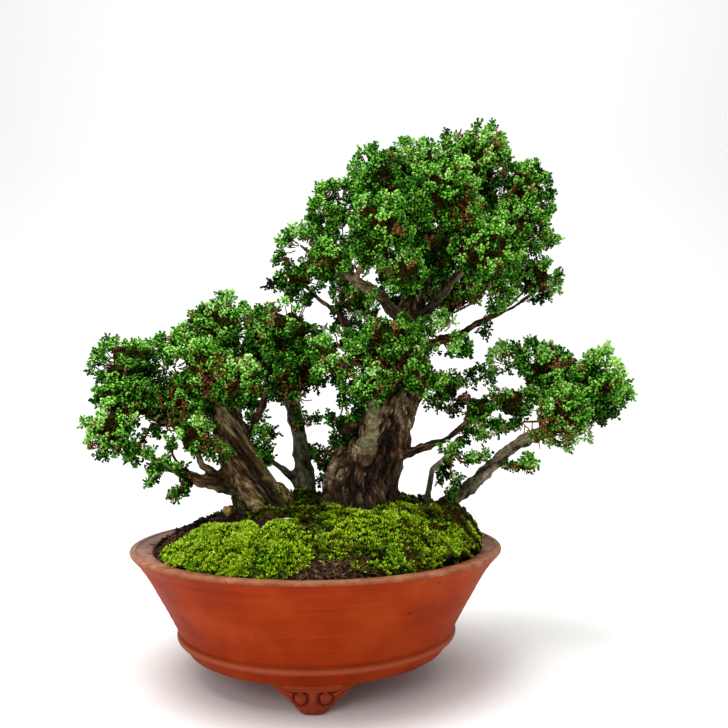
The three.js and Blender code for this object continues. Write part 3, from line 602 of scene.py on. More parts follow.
def soil_block():
    """A disc of rings whose height is the mound plus lumps, closed by the pot's inner wall and floor."""
    radius = np.concatenate([np.linspace(0.5, 96.8, 76), HIDDEN_RINGS[:, 0]])
    angle = circle(200)
    x, y = radius[:, None] * np.cos(angle), radius[:, None] * np.sin(angle)
    spots = np.stack([x, y, 0 * x], -1).reshape(-1, 3)
    lumps = 1.0 * noise(spots, 3.6, 5, 3) + 1.2 * noise(spots, 14, 6, 2)
    z = ground_height(x, y) + lumps.reshape(x.shape)
    z[-len(HIDDEN_RINGS) :] = HIDDEN_RINGS[:, 1:]
    ends = np.array([[0, 0, z[0].mean()], [0, 0, SOIL_FLOOR]])
    return closed_form(np.stack([x, y, z], -1), ends, reverse=True)


print("soil surface:", len(soil_block()[0]), "points")

# %% [markdown]
# ## Crumbs
# Loose crumbs of soil, clods and bits of bark lie half sunk in the mound. A particle system could scatter
# them; here one small stone is copied to thousands of places by one array product, with its own turn and
# size for each copy. Tufts of moss and sprigs of foliage are scattered in the same way.

# %% Ground: scattering copies of one small shape
STONE = np.array([[1, 0, 0], [-1, 0, 0], [0, 1, 0], [0, -1, 0], [0, 0, 1], [0, 0, -1]], float)
STONE_FACES = np.array([
    [0, 2, 4], [2, 1, 4], [1, 3, 4], [3, 0, 4], [2, 0, 5], [1, 2, 5], [3, 1, 5], [0, 3, 5],
])


def unit(vectors):
    """Vectors divided by their lengths."""
    return vectors / np.maximum(np.linalg.norm(vectors, axis=-1, keepdims=True), 1e-6)


def random_turns(random, count):
    """Rotation matrices spread evenly over all directions, from unit quaternions (w, x, y, z)."""
    w, x, y, z = unit(random.normal(size=(4, count)).T).T
    rows = [[1 - 2 * (y * y + z * z), 2 * (x * y - w * z), 2 * (x * z + w * y)],
            [2 * (x * y + w * z), 1 - 2 * (x * x + z * z), 2 * (y * z - w * x)],
            [2 * (x * z - w * y), 2 * (y * z + w * x), 1 - 2 * (x * x + y * y)]]
    return np.moveaxis(np.array(rows), -1, 0)


def scattered(shape, faces, turns, places):
    """Copies of one shape: each point p of copy i becomes turns[i] p + places[i]. Returns points and
    faces."""
    points = np.einsum("nij,kj->nki", turns, shape) + places[:, None, :]
    offsets = np.arange(len(places))[:, None, None] * len(shape)
    return points.reshape(-1, 3), [(faces[None] + offsets).reshape(-1, faces.shape[1])]


def stones(random, radius, angle, size, sunk, shrink):
    """Stones on the mound at (radius, angle). Half their length is `size` times a number drawn between the
    two ends of `shrink`, and their middles stand `sunk` times `size` above the ground."""
    x, y = radius * np.cos(angle), radius * np.sin(angle)
    places = np.stack([x, y, ground_height(x, y) + sunk * size], 1)
    shape = size[:, None] * random.uniform(*shrink, (len(size), 3))
    return scattered(STONE, STONE_FACES, random_turns(random, len(size)) * shape[:, None, :], places)


def crumbs(count, seed):
    """Small stones of 0.7 to 3 mm. Half of them lie in the outer fifth of the mound, where it is bare."""
    random = np.random.default_rng(seed)
    radius = np.where(random.uniform(size=count) < 0.5, 95 * np.sqrt(random.uniform(0.02, 1, count)),
                      random.uniform(78, 94.5, count))
    angle = random.uniform(0, 2 * np.pi, count)
    size = 0.4 + 1.1 * random.uniform(0, 1, count) ** 3
    return stones(random, radius, angle, size, 0.5, (0.6, 1.25))


def rubble(by_rim, by_front, seed):
    """Bits of bark and clods 2 to 6 mm long: by the rim on the left, and behind the right end of the
    front."""
    random = np.random.default_rng(seed)
    angle = np.radians(np.concatenate([random.uniform(150, 214, by_rim), random.uniform(-40, -8, by_front)]))
    radius = np.concatenate([random.uniform(68, 95, by_rim), random.uniform(58, 74, by_front)])
    size = random.uniform(0.7, 2.6, len(angle))
    return stones(random, radius, angle, size, 0.7, ([0.9, 0.5, 0.4], [1.5, 1, 0.8]))


loose = [crumbs(2600, seed=21), rubble(120, 60, seed=5)]
print("crumbs:", [len(points) // len(STONE) for points, _ in loose])

# %% [markdown]
# ## Moist soil
# Potting soil is a mix of dark crumbs and lighter fibres, and it is a little shiny where it is wet. One
# noise the size of a crumb gives both the colour and the relief, so what is pale also stands out.


# %% Material: moist soil
def mottled(name, size, detail, stops, surface, relief=None):
    """A material whose colour runs through `stops` by a noise with cells of `size` mm. `surface` holds
    the other sockets of its shader, and `relief` the strength and the depth in mm of bumps by the same
    noise."""
    material = blank_material(name)
    place = add(material, "TexCoord")
    mottle = add(material, "TexNoise", {"Vector": (place, "Object"), "Scale": cells(size),
                                        "Detail": detail})
    colour = add(material, "ValToRGB", {"Fac": (mottle, "Fac")}, stops)
    sockets = {"Base Color": (colour, "Color"), **surface}
    if relief:
        bumps = {"Height": (mottle, "Fac"), "Strength": relief[0], "Distance": relief[1] * MM}
        sockets["Normal"] = (add(material, "Bump", bumps), "Normal")
    shader = add(material, "BsdfPrincipled", sockets)
    add(material, "OutputMaterial", {"Surface": (shader, "BSDF")})
    return material


# Crumbs of 2.4 mm, from black-brown to umber.
SOIL = mottled("moist soil crumbs", 2.38, 5, [(0.34, "#070402"), (0.48, "#160d07"), (0.58, "#2f1d10"),
                                              (0.7, "#644528")],
               {"Roughness": 0.7, "Specular IOR Level": 0.06}, relief=(0.8, 0.8))
soil_points, soil_faces, _ = joined([(*form, {}) for form in (soil_block(), *loose)])
piece("soil_mound", soil_points, soil_faces, SOIL, "soil", "soil")

# %% [markdown]
# ## Roots and a straw
# Where no moss grows, thin red-brown rootlets lie bare in the soil. One old root arches out of the moss,
# and a dry straw lies in front of it. Curve objects with a round bevel could draw them. Here they are nets
# from the start, rings of points round a middle line, so that noise can bend and swell them.


# %% Ground: thin curved strands
def rings_round(middle, width, along, helper, sides=3):
    """Rings round a middle line: middle + width (side cos a + up sin a), where side is the unit vector of
    along x helper, and up that of along x side."""
    side = unit(np.cross(along, helper))
    up = unit(np.cross(along, side))
    angle = circle(sides)[:, None]
    spokes = np.cos(angle) * side[..., None, :] + np.sin(angle) * up[..., None, :]
    return middle[..., None, :] + width[..., None, None] * spokes


def three_sided_tubes(rings):
    """Points and faces of many closed tubes, from an array (tube, ring, corner, 3) with three corners."""
    count, knots = rings.shape[:2]
    first = 3 * knots * np.arange(count)[:, None, None]
    last = 3 * (knots - 1)
    walls = grid_faces(knots, 3) + first
    ends = np.array([[2, 1, 0], [last, last + 1, last + 2]]) + first
    return rings.reshape(-1, 3), [walls.reshape(-1, 4), ends.reshape(-1, 3)]


def strands(starts, heads, lengths, widths, bend, random, knots=5):
    """Tubes that start at `starts` in the level direction `heads` (radians) and curve by `bend` radians on
    their way: p(t) = start + integral of (cos, sin)(head + bend t), lying on the ground and arching over it
    by a tenth of their length."""
    t = np.linspace(0, 1, knots)
    course = heads[:, None] + bend[:, None] * t
    step = lengths[:, None] / (knots - 1)
    x = starts[:, :1] + np.cumsum(np.cos(course) * step, 1)
    y = starts[:, 1:2] + np.cumsum(np.sin(course) * step, 1)
    arch = 0.1 * lengths[:, None] * np.sin(np.pi * t)[None] * random.uniform(0.2, 1.6, (len(starts), 1))
    middle = np.stack([x, y, starts[:, 2:] + ground_height(x, y) + arch], -1)
    taper = widths[:, None] * (1 - 0.7 * t)[None]
    return three_sided_tubes(rings_round(middle, taper, np.gradient(middle, axis=1), [0, 0, 1.0]))


def rootlets(count, seed):
    """Dry roots 4 to 12 mm long, tangled in the bare soil of the front and fewer on the left edge."""
    random = np.random.default_rng(seed)
    angle = np.radians(np.where(random.uniform(size=count) < 0.72, random.normal(-84, 13, count),
                                random.uniform(140, 215, count)))
    radius = random.uniform(78, 95, count)
    starts = np.stack([radius * np.cos(angle), radius * np.sin(angle), random.uniform(0.2, 1.4, count)], 1)
    heads = angle + np.pi / 2 * np.sign(random.normal(size=count)) + random.normal(0, 0.7, count)
    return strands(starts, heads, random.uniform(4, 12, count), random.uniform(0.14, 0.34, count),
                   random.normal(0, 1.6, count), random)


# Dry thin roots: red-brown, with paler places every 4 mm where the skin is worn.
ROOTLET_SKIN = mottled("dry rootlets", 3.85, 3, [(0.3, "#1b0c05"), (0.46, "#482512"), (0.6, "#7c522d"),
                                                 (0.72, "#bd9765")], {"Roughness": 0.7})
piece("rootlets", *rootlets(440, seed=77), ROOTLET_SKIN)


# %% Ground: a root that arches out of the moss, and a straw
def smooth_path(path, steps):
    """Rows on a smooth curve through the rows of a path, ends included: a cubic through each four rows
    in turn (Catmull and Rom's), q(f) = b + f/2 (c - a + f (2a - 5b + 4c - d + f (3 (b - c) + d - a)))."""
    path = np.array(path, float)
    path = np.concatenate([2 * path[:1] - path[1:2], path, 2 * path[-1:] - path[-2:-1]])
    t = np.linspace(0, len(path) - 3 - 1e-6, steps)
    k, f = t.astype(int), (t % 1)[:, None]
    a, b, c, d = path[k], path[k + 1], path[k + 2], path[k + 3]
    return b + 0.5 * f * (c - a + f * (2 * a - 5 * b + 4 * c - d + f * (3 * (b - c) + d - a)))


def swept(path, sides=9, steps=24):
    """A knotty tube along a smooth path (x, y, z, radius), closed at both ends, with a radius that a random
    field swells."""
    curve = smooth_path(path, steps)
    middle, radius = curve[:, :3], curve[:, 3] * (1 + 0.2 * noise(curve[:, :3], 3.5, 8, 2))
    rings = rings_round(middle, radius, np.gradient(middle, axis=0), [0.1, 1.0, 0.2], sides)
    return closed_form(rings, middle[[0, -1]])


ROOT_PATHS = {
    "arched_root": [(-36, -12, 90, 3.4), (-31, -11, 103, 4.0), (-25, -9, 105.5, 4.6), (-19, -8, 99, 4.8),
                    (-14, -8, 87, 4.4)],
    "straw": [(-23, -45, 91.5, 0.45), (-17, -46, 93.4, 0.55), (-10, -47, 93.6, 0.5), (-4, -47, 91.6, 0.35)],
}
# Bare dead wood and straw: mottled over 2 mm, with pale places where they are worn.
DRY_SURFACE = {"Roughness": 0.8, "Specular IOR Level": 0.1}
ROOT_SKINS = {
    "arched_root": mottled("weathered surface root", 1.923, 5, [(0.34, "#1d160a"), (0.5, "#4d4020"),
                                                                (0.68, "#8b7a4a")], DRY_SURFACE, (0.8, 1)),
    "straw": mottled("dry straw", 1.923, 5, [(0.34, "#6b5a3c"), (0.5, "#a99468"), (0.68, "#d8c79b")],
                     DRY_SURFACE, (0.8, 1)),
}
for name, path in ROOT_PATHS.items():
    piece(name, *swept(path), ROOT_SKINS[name])

# %% [markdown]
# ## Moss
# Moss grows as cushions of tiny upright shoots that meet and cover most of the mound. Hair strands could
# draw it, but leaves with a width catch the light better. So each cushion is a lumpy bed, painted dark as
# the shade among the shoots, thick in the middle and thinning into the soil, with thousands of tufts on
# it; a tuft is five narrow leaves that spread from one foot.

# %% Moss: one tuft
TUFT_LEAVES = 5
GOLDEN_ANGLE = 2.4  # radians


def leaning(lean, turn):
    """Unit vectors that lean from +Z towards `turn`: (sin lean cos turn, sin lean sin turn, cos lean)."""
    return np.stack([np.sin(lean) * np.cos(turn), np.sin(lean) * np.sin(turn), np.cos(lean) + 0 * turn], -1)


def tuft_shape():
    """Kites with corners at the foot, left, tip and right. Leaf k leans out by 8, 27 or 46 degrees at k
    times the golden angle. The third result says how far up each point is, from 0 to 1."""
    k = np.arange(TUFT_LEAVES)
    turn = k * GOLDEN_ANGLE
    out = leaning(np.radians(8 + 38 * (k % 3) / 2), turn)
    side = np.stack([-np.sin(turn), np.cos(turn), 0 * turn], 1)
    corners = np.stack([0 * out, 0.6 * out + 0.18 * side, out, 0.6 * out - 0.18 * side], 1)
    faces = np.arange(TUFT_LEAVES * 4).reshape(-1, 4)
    return corners.reshape(-1, 3), faces, np.tile([0, 0.6, 1, 0.6], TUFT_LEAVES)


TUFT, TUFT_FACES, TUFT_UP = tuft_shape()
print("a tuft has", len(TUFT_FACES), "leaves")

# %% [markdown]
# ## The moss's colour
# A shoot is black-green at its foot, where light is short, and yellow-green at its tip. Sunlit moss is
# bright, and shaded or dry moss is olive to brown. The net carries the height on the shoot times the
# brightness of the place, and a colour ramp turns that one number into the whole range.


# %% Material: moss
def living_moss():
    """Leaf colour by the attribute `up`, from shaded foot to sunlit tip, with a speck of light on each
    shoot of the bed (cells of 1.3 mm). Patches of 18 mm are a more vivid green, and `old` goes towards
    dry brown."""
    moss = blank_material("living cushion moss")
    up = add(moss, "Attribute", attribute_name="up")
    place = add(moss, "TexCoord")
    shoots = add(moss, "TexVoronoi", {"Vector": (place, "Object"), "Scale": cells(1.333)})
    speck = add(moss, "MapRange", {"Value": (shoots, "Distance"), 1: 0.1, 2: 0.7, 3: 0.18, 4: -0.2})
    level = add(moss, "Math", {0: (up, "Fac"), 1: (speck, "Result")}, operation="ADD")
    fresh = add(moss, "ValToRGB", {"Fac": (level, "Value")},
                [(0.0, "#080902"), (0.25, "#334b03"), (0.5, "#7aa406"), (0.75, "#b9da14"), (1.0, "#f0f582")])
    patches = add(moss, "TexNoise", {"Vector": (place, "Object"), "Scale": cells(18.2), "Detail": 3})
    vivid = add(moss, "MapRange", {"Value": (patches, "Fac"), 1: 0.5, 2: 0.7, 4: 0.4})
    hued = add(moss, "Mix", {"Factor": (vivid, "Result"), 6: (fresh, "Color"), 7: linear("#2c9a10")},
               data_type="RGBA", blend_type="OVERLAY")
    colour = layered(moss, (hued, 2), [("old", "#4a3014")])
    relief = add(moss, "Bump", {"Height": (shoots, "Distance"), "Strength": 0.8, "Distance": 0.8 * MM},
                 invert=True)
    shader = add(moss, "BsdfPrincipled", {"Base Color": colour, "Roughness": 0.6,
                                          "Specular IOR Level": 0.04, "Normal": (relief, "Normal")})
    add(moss, "OutputMaterial", {"Surface": (shader, "BSDF")})
    return moss


MOSS = living_moss()
print("moss:", len(MOSS.node_tree.nodes), "nodes")

# %% [markdown]
# ## The cushions
# Each cushion is a few overlapping lumps, as moss spreads from several starts. A lump is an ellipse on the
# mound, given one by one, because where the moss is thick, bright or parted is what makes this ground its
# own.

# %% Moss: the lumps and their beds
# The lumps of each cushion: middle x and y, half-lengths along and across, turn in degrees, thickness,
# and brightness from 0 (olive) up.
CUSHIONS = {
    "moss_front_left": [(-47, -64, 40, 22, -34, 5.5, 1.65), (-22, -74, 26, 22, -12, 6, 1.5)],
    "moss_front": [(2, -50, 18, 20, 0, 4.5, 0.15), (12, -75, 11, 11, 0, 6, 1.05),
                   (38, -60, 30, 24, 20, 8, 1.15), (-2, -70, 13, 14, 0, 4.5, 0.1),
                   (34, -78, 24, 9, 8, 4, 0.55), (4, -32, 30, 12, 0, 3, 0.25),
                   (-24, -30, 14, 8, -20, 3, 0.3), (-10, 6, 15, 13, 0, 8, 0.2)],
    "moss_front_right": [(64, -58, 26, 24, 38, 7.5, 0.5), (80, -34, 25, 21, 62, 9, 0.3),
                         (87, -4, 20, 17, 80, 11, 0.25), (52, -30, 20, 14, 20, 6, 0.5),
                         (76, -55, 30, 13, 54, 6, 0.45)],
    "moss_back": [(-20, 62, 44, 20, 5, 5, 0.6), (24, 66, 30, 16, -10, 5, 0.5),
                  (-60, 48, 22, 14, 30, 4, 0.5), (62, 44, 26, 18, -35, 6, 0.45)],
}
MOSS_EDGE = 98.5
TUFT_AREA = 1.6  # mm2 of bed for each tuft
FAR_SIDE = 30  # behind this y tufts and heads stand farther apart
BED_FOOT = 72.0  # height of the point in the soil that closes each bed


def lump_share(x, y, lump):
    """How far a place is from a lump's middle: 0 there and 1 at its edge, which a random field bends."""
    cx, cy, half_long, half_wide, turn = lump[:5]
    a = math.radians(turn)
    u = ((x - cx) * math.cos(a) + (y - cy) * math.sin(a)) / half_long
    v = (-(x - cx) * math.sin(a) + (y - cy) * math.cos(a)) / half_wide
    spots = np.stack([x, y, 0 * x], -1).reshape(-1, 3)
    return np.hypot(u, v) + 0.14 * noise(spots, 9, 17, 2).reshape(x.shape)


def moss_height(x, y, lump):
    """Height of a lump's bed: ground + thickness (1 - share^3) + small lumps, and below the soil
    outside."""
    share = lump_share(x, y, lump)
    spots = np.stack([x, y, 0 * x], -1).reshape(-1, 3)
    knobs = noise(spots, 5.5, 19, 2).reshape(x.shape)
    body = np.clip(1 - np.clip(share, 0, 1.4) ** 3, -1.2, 1)
    return ground_height(x, y) + lump[5] * body + 1.3 * knobs * np.clip(body, 0, 1) ** 0.5


def moss_bed(lump, rings=20, sides=56):
    """A bed as a polar net, kept inside the pot and closed by a point in the soil. Returns points and
    faces."""
    share = np.linspace(0.02, 1.12, rings)[:, None]
    angle = circle(sides)
    a = math.radians(lump[4])
    u, v = lump[2] * share * np.cos(angle), lump[3] * share * np.sin(angle)
    x, y = lump[0] + u * math.cos(a) - v * math.sin(a), lump[1] + u * math.sin(a) + v * math.cos(a)
    pull = np.minimum(1, MOSS_EDGE / np.hypot(x, y))
    x, y = x * pull, y * pull
    bed = np.stack([x, y, moss_height(x, y, lump)], -1)
    return closed_form(bed, np.stack([bed[0].mean(0), [lump[0], lump[1], BED_FOOT]]), reverse=True)


FURROWS = np.array([[0.62, 0.38, 0], [0.38, 0.62, 0], [0, 0, 1]])


def moss_gaps(spots, streaked):
    """A field that is high where the moss parts: round gaps of 4 mm, or, where it is `streaked`, furrows of
    4 by 17 mm that run down to the right."""
    level = spots * [1, 1, 0]
    return noise(level @ FURROWS if streaked else level, 4.2, 35, 2)


print(len(CUSHIONS), "cushions of", sum(map(len, CUSHIONS.values())), "lumps")


# %% Moss: tufts on the beds
def surface_spots(points, quads, count, random):
    """Random spots on a net, with each face chosen in proportion to its area, and the face normals
    there."""
    a, b, c, d = (points[quads[:, k]] for k in range(4))
    cross = np.cross(c - a, d - b)
    area = np.linalg.norm(cross, axis=1) / 2
    chosen = random.choice(len(quads), count, p=area / area.sum())
    u, v = random.uniform(size=(2, count, 1))
    spots = (a[chosen] * (1 - u) + b[chosen] * u) * (1 - v) + (d[chosen] * (1 - u) + c[chosen] * u) * v
    return spots, cross[chosen] / (2 * area[chosen, None])


def frames_along(directions, random):
    """A rotation for each direction that carries +Z onto it, with a random turn round it."""
    directions = unit(directions)
    side = unit(np.cross(directions, random.normal(size=directions.shape)))
    return np.stack([side, np.cross(directions, side), directions], -1)


def moss_lump(lump, random):
    """A bed and its tufts, as two forms. Where the moss parts the bed stays bare, but for a few brown
    tufts. The tone of a tuft comes from its lump's brightness, from patches of 13 mm and from painted
    shade near the gaps. The bed is painted dark, as the shade under the tufts."""
    bed, bed_faces = moss_bed(lump)
    bright, streaked = lump[6], lump[0] > 45
    area = TUFT_AREA * (1 + 0.5 * (lump[1] > FAR_SIDE))
    count = int(np.pi * lump[2] * lump[3] * 1.25 / area)
    spots, facing = surface_spots(bed, bed_faces[0], count, random)
    facing = facing * np.sign(facing[:, 2:])
    gaps = moss_gaps(spots, streaked)
    bare = (noise(spots, 10, 33, 2) > 0.6 + 0.6 * bright) | (gaps > 0.5 + 0.12 * bright - 0.26 * streaked)
    brown = bare & (random.uniform(size=len(spots)) < 0.6 * streaked + 0.1)
    free = (spots[:, 2] > ground_height(spots[:, 0], spots[:, 1]) - 0.2) & (~bare | brown)
    spots, facing, brown = spots[free], facing[free], brown[free]
    size = random.uniform(1.5, 3.4, len(spots)) * (1 - 0.25 * brown)
    direction = facing + [0, 0, 0.7] + 0.4 * random.normal(size=facing.shape)
    turns = frames_along(direction, random) * size[:, None, None]
    # Painted light and shade: the lump's brightness, and painted shade near the gaps where the moss parts.
    tone = 0.56 + 0.53 * bright + 0.44 * noise(spots, 13, 31, 3) - 0.6 * np.clip(gaps[free], -0.4, 1)
    tone += 0.17 * random.normal(size=len(spots)) - 0.4 * brown
    old = np.clip(0.42 - 0.5 * bright + 0.55 * noise(spots, 6, 47, 2), 0, 0.9) * 0.8
    tufts = {"up": np.clip(TUFT_UP[None, :] * np.clip(tone, 0.2, 1.16)[:, None], 0, 1).ravel(),
             "old": np.repeat(np.maximum(old, 0.85 * brown), len(TUFT))}
    # Painted shade: the bed under the tufts is dark.
    under = {"up": 0.08 + 0.1 * bright + 0.1 * noise(bed, 2.5, 37, 2),
             "old": 0.4 * smooth_step(moss_gaps(bed, streaked), 0.1, 0.5) * (bright < 1.2)}
    return [(bed, bed_faces, under), (*scattered(TUFT, TUFT_FACES, turns, spots - 0.2 * facing), tufts)]


for node, lumps in CUSHIONS.items():
    random = np.random.default_rng(len(node) * 7)
    points, faces, values = joined([form for lump in lumps for form in moss_lump(lump, random)])
    slot = "moss" if node in ("moss_front_left", "moss_front_right") else "moss_dark"
    piece(node + "_tufts", points, faces, MOSS, node, slot, values)

# %% [markdown]
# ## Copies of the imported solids
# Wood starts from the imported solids, so that it keeps its place. A copy is merged, rebuilt as an even net
# of small squares by a voxel remesh, and smoothed. After that numpy moves its points.


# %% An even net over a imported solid
def even_net(node, voxel, passes):
    """Points (in millimetres) and four-cornered faces of a node's solid, rebuilt with squares of `voxel`
    millimetres and smoothed `passes` times."""
    rough = bmesh.new()
    rough.from_mesh(frame["nodes"][node].data)
    bmesh.ops.remove_doubles(rough, verts=rough.verts, dist=1e-6)
    mesh = bpy.data.meshes.new("net")
    rough.to_mesh(mesh)
    rough.free()
    carrier = bpy.data.objects.new("net", mesh)
    bpy.context.scene.collection.objects.link(carrier)
    remesh = carrier.modifiers.new("even", "REMESH")
    remesh.mode, remesh.voxel_size, remesh.adaptivity = "VOXEL", voxel * MM, 0
    smooth = carrier.modifiers.new("smooth", "SMOOTH")
    smooth.factor, smooth.iterations = 0.5, passes
    final = bpy.data.meshes.new_from_object(carrier.evaluated_get(bpy.context.evaluated_depsgraph_get()))
    points = np.empty(len(final.vertices) * 3, np.float32)
    final.vertices.foreach_get("co", points)
    corners = np.empty(len(final.loops), np.int32)
    final.loops.foreach_get("vertex_index", corners)
    normals = np.empty(len(final.vertices) * 3, np.float32)
    final.vertices.foreach_get("normal", normals)
    for data in (final, mesh):
        bpy.data.meshes.remove(data)
    return millimetres(points.reshape(-1, 3)), corners.reshape(-1, 4), normals.reshape(-1, 3).astype(float)


print("even nets are made by Blender", bpy.app.version_string)

# %% [markdown]
# ## Wood
# Each trunk is known by its limbs: paths of points with a radius, from root to tip. Bark follows them: its
# plates are long along the limb and narrow round it. So every point of a trunk's net is given two bark
# coordinates, how far along its limb it is and where round it, and the relief is a random field in those.

# %% Wood: the limbs of each trunk
LIMBS = {
    "trunk_left": [
        [(-29, -9, 79, 17), (-32, -10, 90, 15.5), (-41, -10, 111, 12.5), (-50, -8, 129, 11.5),
         (-57, -6, 150, 10.2), (-62, -4, 165, 7.5), (-63, 1, 183, 4.5), (-61, 4, 201, 2)],
        [(-43, -11, 104, 5.2), (-58, -15, 108, 4.6), (-72, -20, 113, 4), (-89, -22, 121, 3.2),
         (-104, -21, 129, 2.4), (-118, -20, 140, 1.3)],
        [(-46, -9, 111, 4.4), (-60, -13, 115, 3.4), (-67, -23, 121, 2.8), (-69, -29, 131, 1.4)],
        [(-50, -6, 127, 5.2), (-64, -3, 133, 4.4), (-82, 2, 139, 3.8), (-95, 6, 146, 3.2),
         (-107, 8, 158, 2.6), (-121, 8, 172, 1.4)],
        [(-50, -8, 130, 4.4), (-42, -6, 141, 3.8), (-35, -2, 154, 3.2), (-33, 6, 170, 2.4),
         (-38, 12, 188, 1.3)],
        [(-45, -8, 122, 3.2), (-36, -6, 129, 2.6), (-29, 3, 136, 1.3)],
    ],
    "trunk_thin": [
        [(-10, 22, 80, 8.4), (-10, 22, 100, 7), (-12, 22, 121, 5.8), (-15, 20, 140, 5.2),
         (-19, 18, 159, 5), (-20, 15, 177, 3.8), (-20, 8, 195, 1.6)],
        [(-12, 22, 104, 4), (-24, 20, 115, 3), (-31, 13, 121, 2.2), (-34, 1, 124, 1.2)],
    ],
    "trunk_main": [
        [(25, 2, 76, 29), (27, 0, 90, 26.5), (30, 0, 110, 23.5), (36, 0, 129, 20.8), (43, 2, 147, 18.8),
         (50, 4, 166, 16.5), (54, 6, 184, 14), (56, 8, 200, 11.5), (59, 10, 217, 8.5), (64, 12, 240, 6.5),
         (68, 12, 269, 4.6), (68, 4, 301, 1.8)],
        [(56, 8, 200, 5.6), (47, 0, 212, 5), (35, -8, 225, 4.5), (25, -10, 230, 4), (12, -11, 238, 3.2),
         (-1, -9, 246, 2.4), (-12, -6, 255, 1.3)],
        [(58, 9, 203, 5.8), (66, 1, 213, 5.2), (73, -6, 222, 4.5), (86, -12, 237, 3.6),
         (103, -12, 250, 2.4), (119, -7, 257, 1.3)],
        [(56, 6, 192, 6.4), (73, 12, 196, 5), (88, 16, 201, 4.2), (104, 18, 210, 3.4),
         (124, 17, 219, 2.5), (138, 14, 229, 1.3)],
        [(50, 6, 187, 5.4), (30, 4, 197, 4.2), (18, 2, 205, 3.5), (11, 2, 214, 2.9), (-1, 4, 223, 2.2),
         (-12, 5, 234, 1.3)],
        [(31, -12, 120, 8.5), (30, -23, 128, 7), (32, -28, 137, 4.6), (32, -30, 150, 4.2),
         (32, -33, 159, 2)],
        [(48, -2, 121, 5.4), (65, -8, 130, 3.8), (79, -10, 136, 3.2), (90, -8, 146, 2.5),
         (94, 4, 163, 1.3)],
        [(44, -14, 96, 3), (52, -15, 108, 2.2), (55, -15, 117, 1.2)],
    ],
    "twig_low": [[(65, -16, 84, 2.8), (66, -15, 104, 2.3), (69, -15, 118, 2), (79, -14, 128, 1.1)]],
    "trunk_right": [
        [(66, 12, 80, 6), (75, 8, 93, 5.2), (89, 4, 102, 4.7), (100, 2, 112, 4.6), (115, 0, 127, 4.3),
         (130, -2, 137, 4), (145, -2, 142, 3.4), (161, 0, 152, 2.6), (171, 0, 164, 1.3)],
    ],
}
print({node: len(limbs) for node, limbs in LIMBS.items()}, "limbs")


# %% Wood: places in the bark
def bark_coordinates(points, limbs):
    """For each point: the number of its nearest limb (by distance over radius), how far along that limb
    it is, the unit direction away from the limb's middle line, the limb's radius there and the scaled
    distance. Each joint of a limb has a plane across it, square to the mean of its two directions.
    Between the planes of a and b the place along is t = da / (da + db), by the distances to them, so
    nothing jumps at a joint."""
    best = np.full(len(points), np.inf)
    found = np.zeros((len(points), 6))
    for index, limb in enumerate(limbs):
        runs = np.diff(limb[:, :3], axis=0)
        lengths = np.linalg.norm(runs, axis=1)
        units = runs / lengths[:, None]
        planes = unit(np.concatenate([units[:1], units[:-1] + units[1:], units[-1:]]))
        rank, mine = np.full(len(points), np.inf), np.zeros((len(points), 6))
        for k, (a, b) in enumerate(zip(limb, limb[1:])):
            from_a, to_b = (points - a[:3]) @ planes[k], (b[:3] - points) @ planes[k + 1]
            t = np.clip(from_a / np.maximum(from_a + to_b, 1e-3), 0, 1)
            away = points - a[:3] - t[:, None] * runs[k]
            distance, here = np.maximum(np.linalg.norm(away, axis=1), 1e-6), a[3] + (b[3] - a[3]) * t
            between = distance / here + 1000 * ((from_a < 0) | (to_b < 0))
            nearer = between < rank
            rank[nearer] = between[nearer]
            along = lengths[:k].sum() + t * lengths[k]
            row = np.column_stack([distance / here, along, here, away / distance[:, None]])
            mine[nearer] = row[nearer]
        nearer = mine[:, 0] < best
        best[nearer] = mine[nearer, 0]
        found[nearer] = np.column_stack([np.full(len(points), index), mine[:, 1:]])[nearer]
    return found[:, 0], found[:, 1], found[:, 3:], found[:, 2], best


print("the main trunk rises through", len(LIMBS["trunk_main"][0]), "places")

# %% Wood: the bark's relief
BARK_TILT = np.array([[0.8, 0.36, -0.48], [-0.6, 0.48, -0.64], [0, 0.8, 0.6]])
PLATE_STRETCH = np.array([0.24, 0.2, 0.16])
FLAKE_STRETCH = np.array([0.5, 0.42, 0.34])


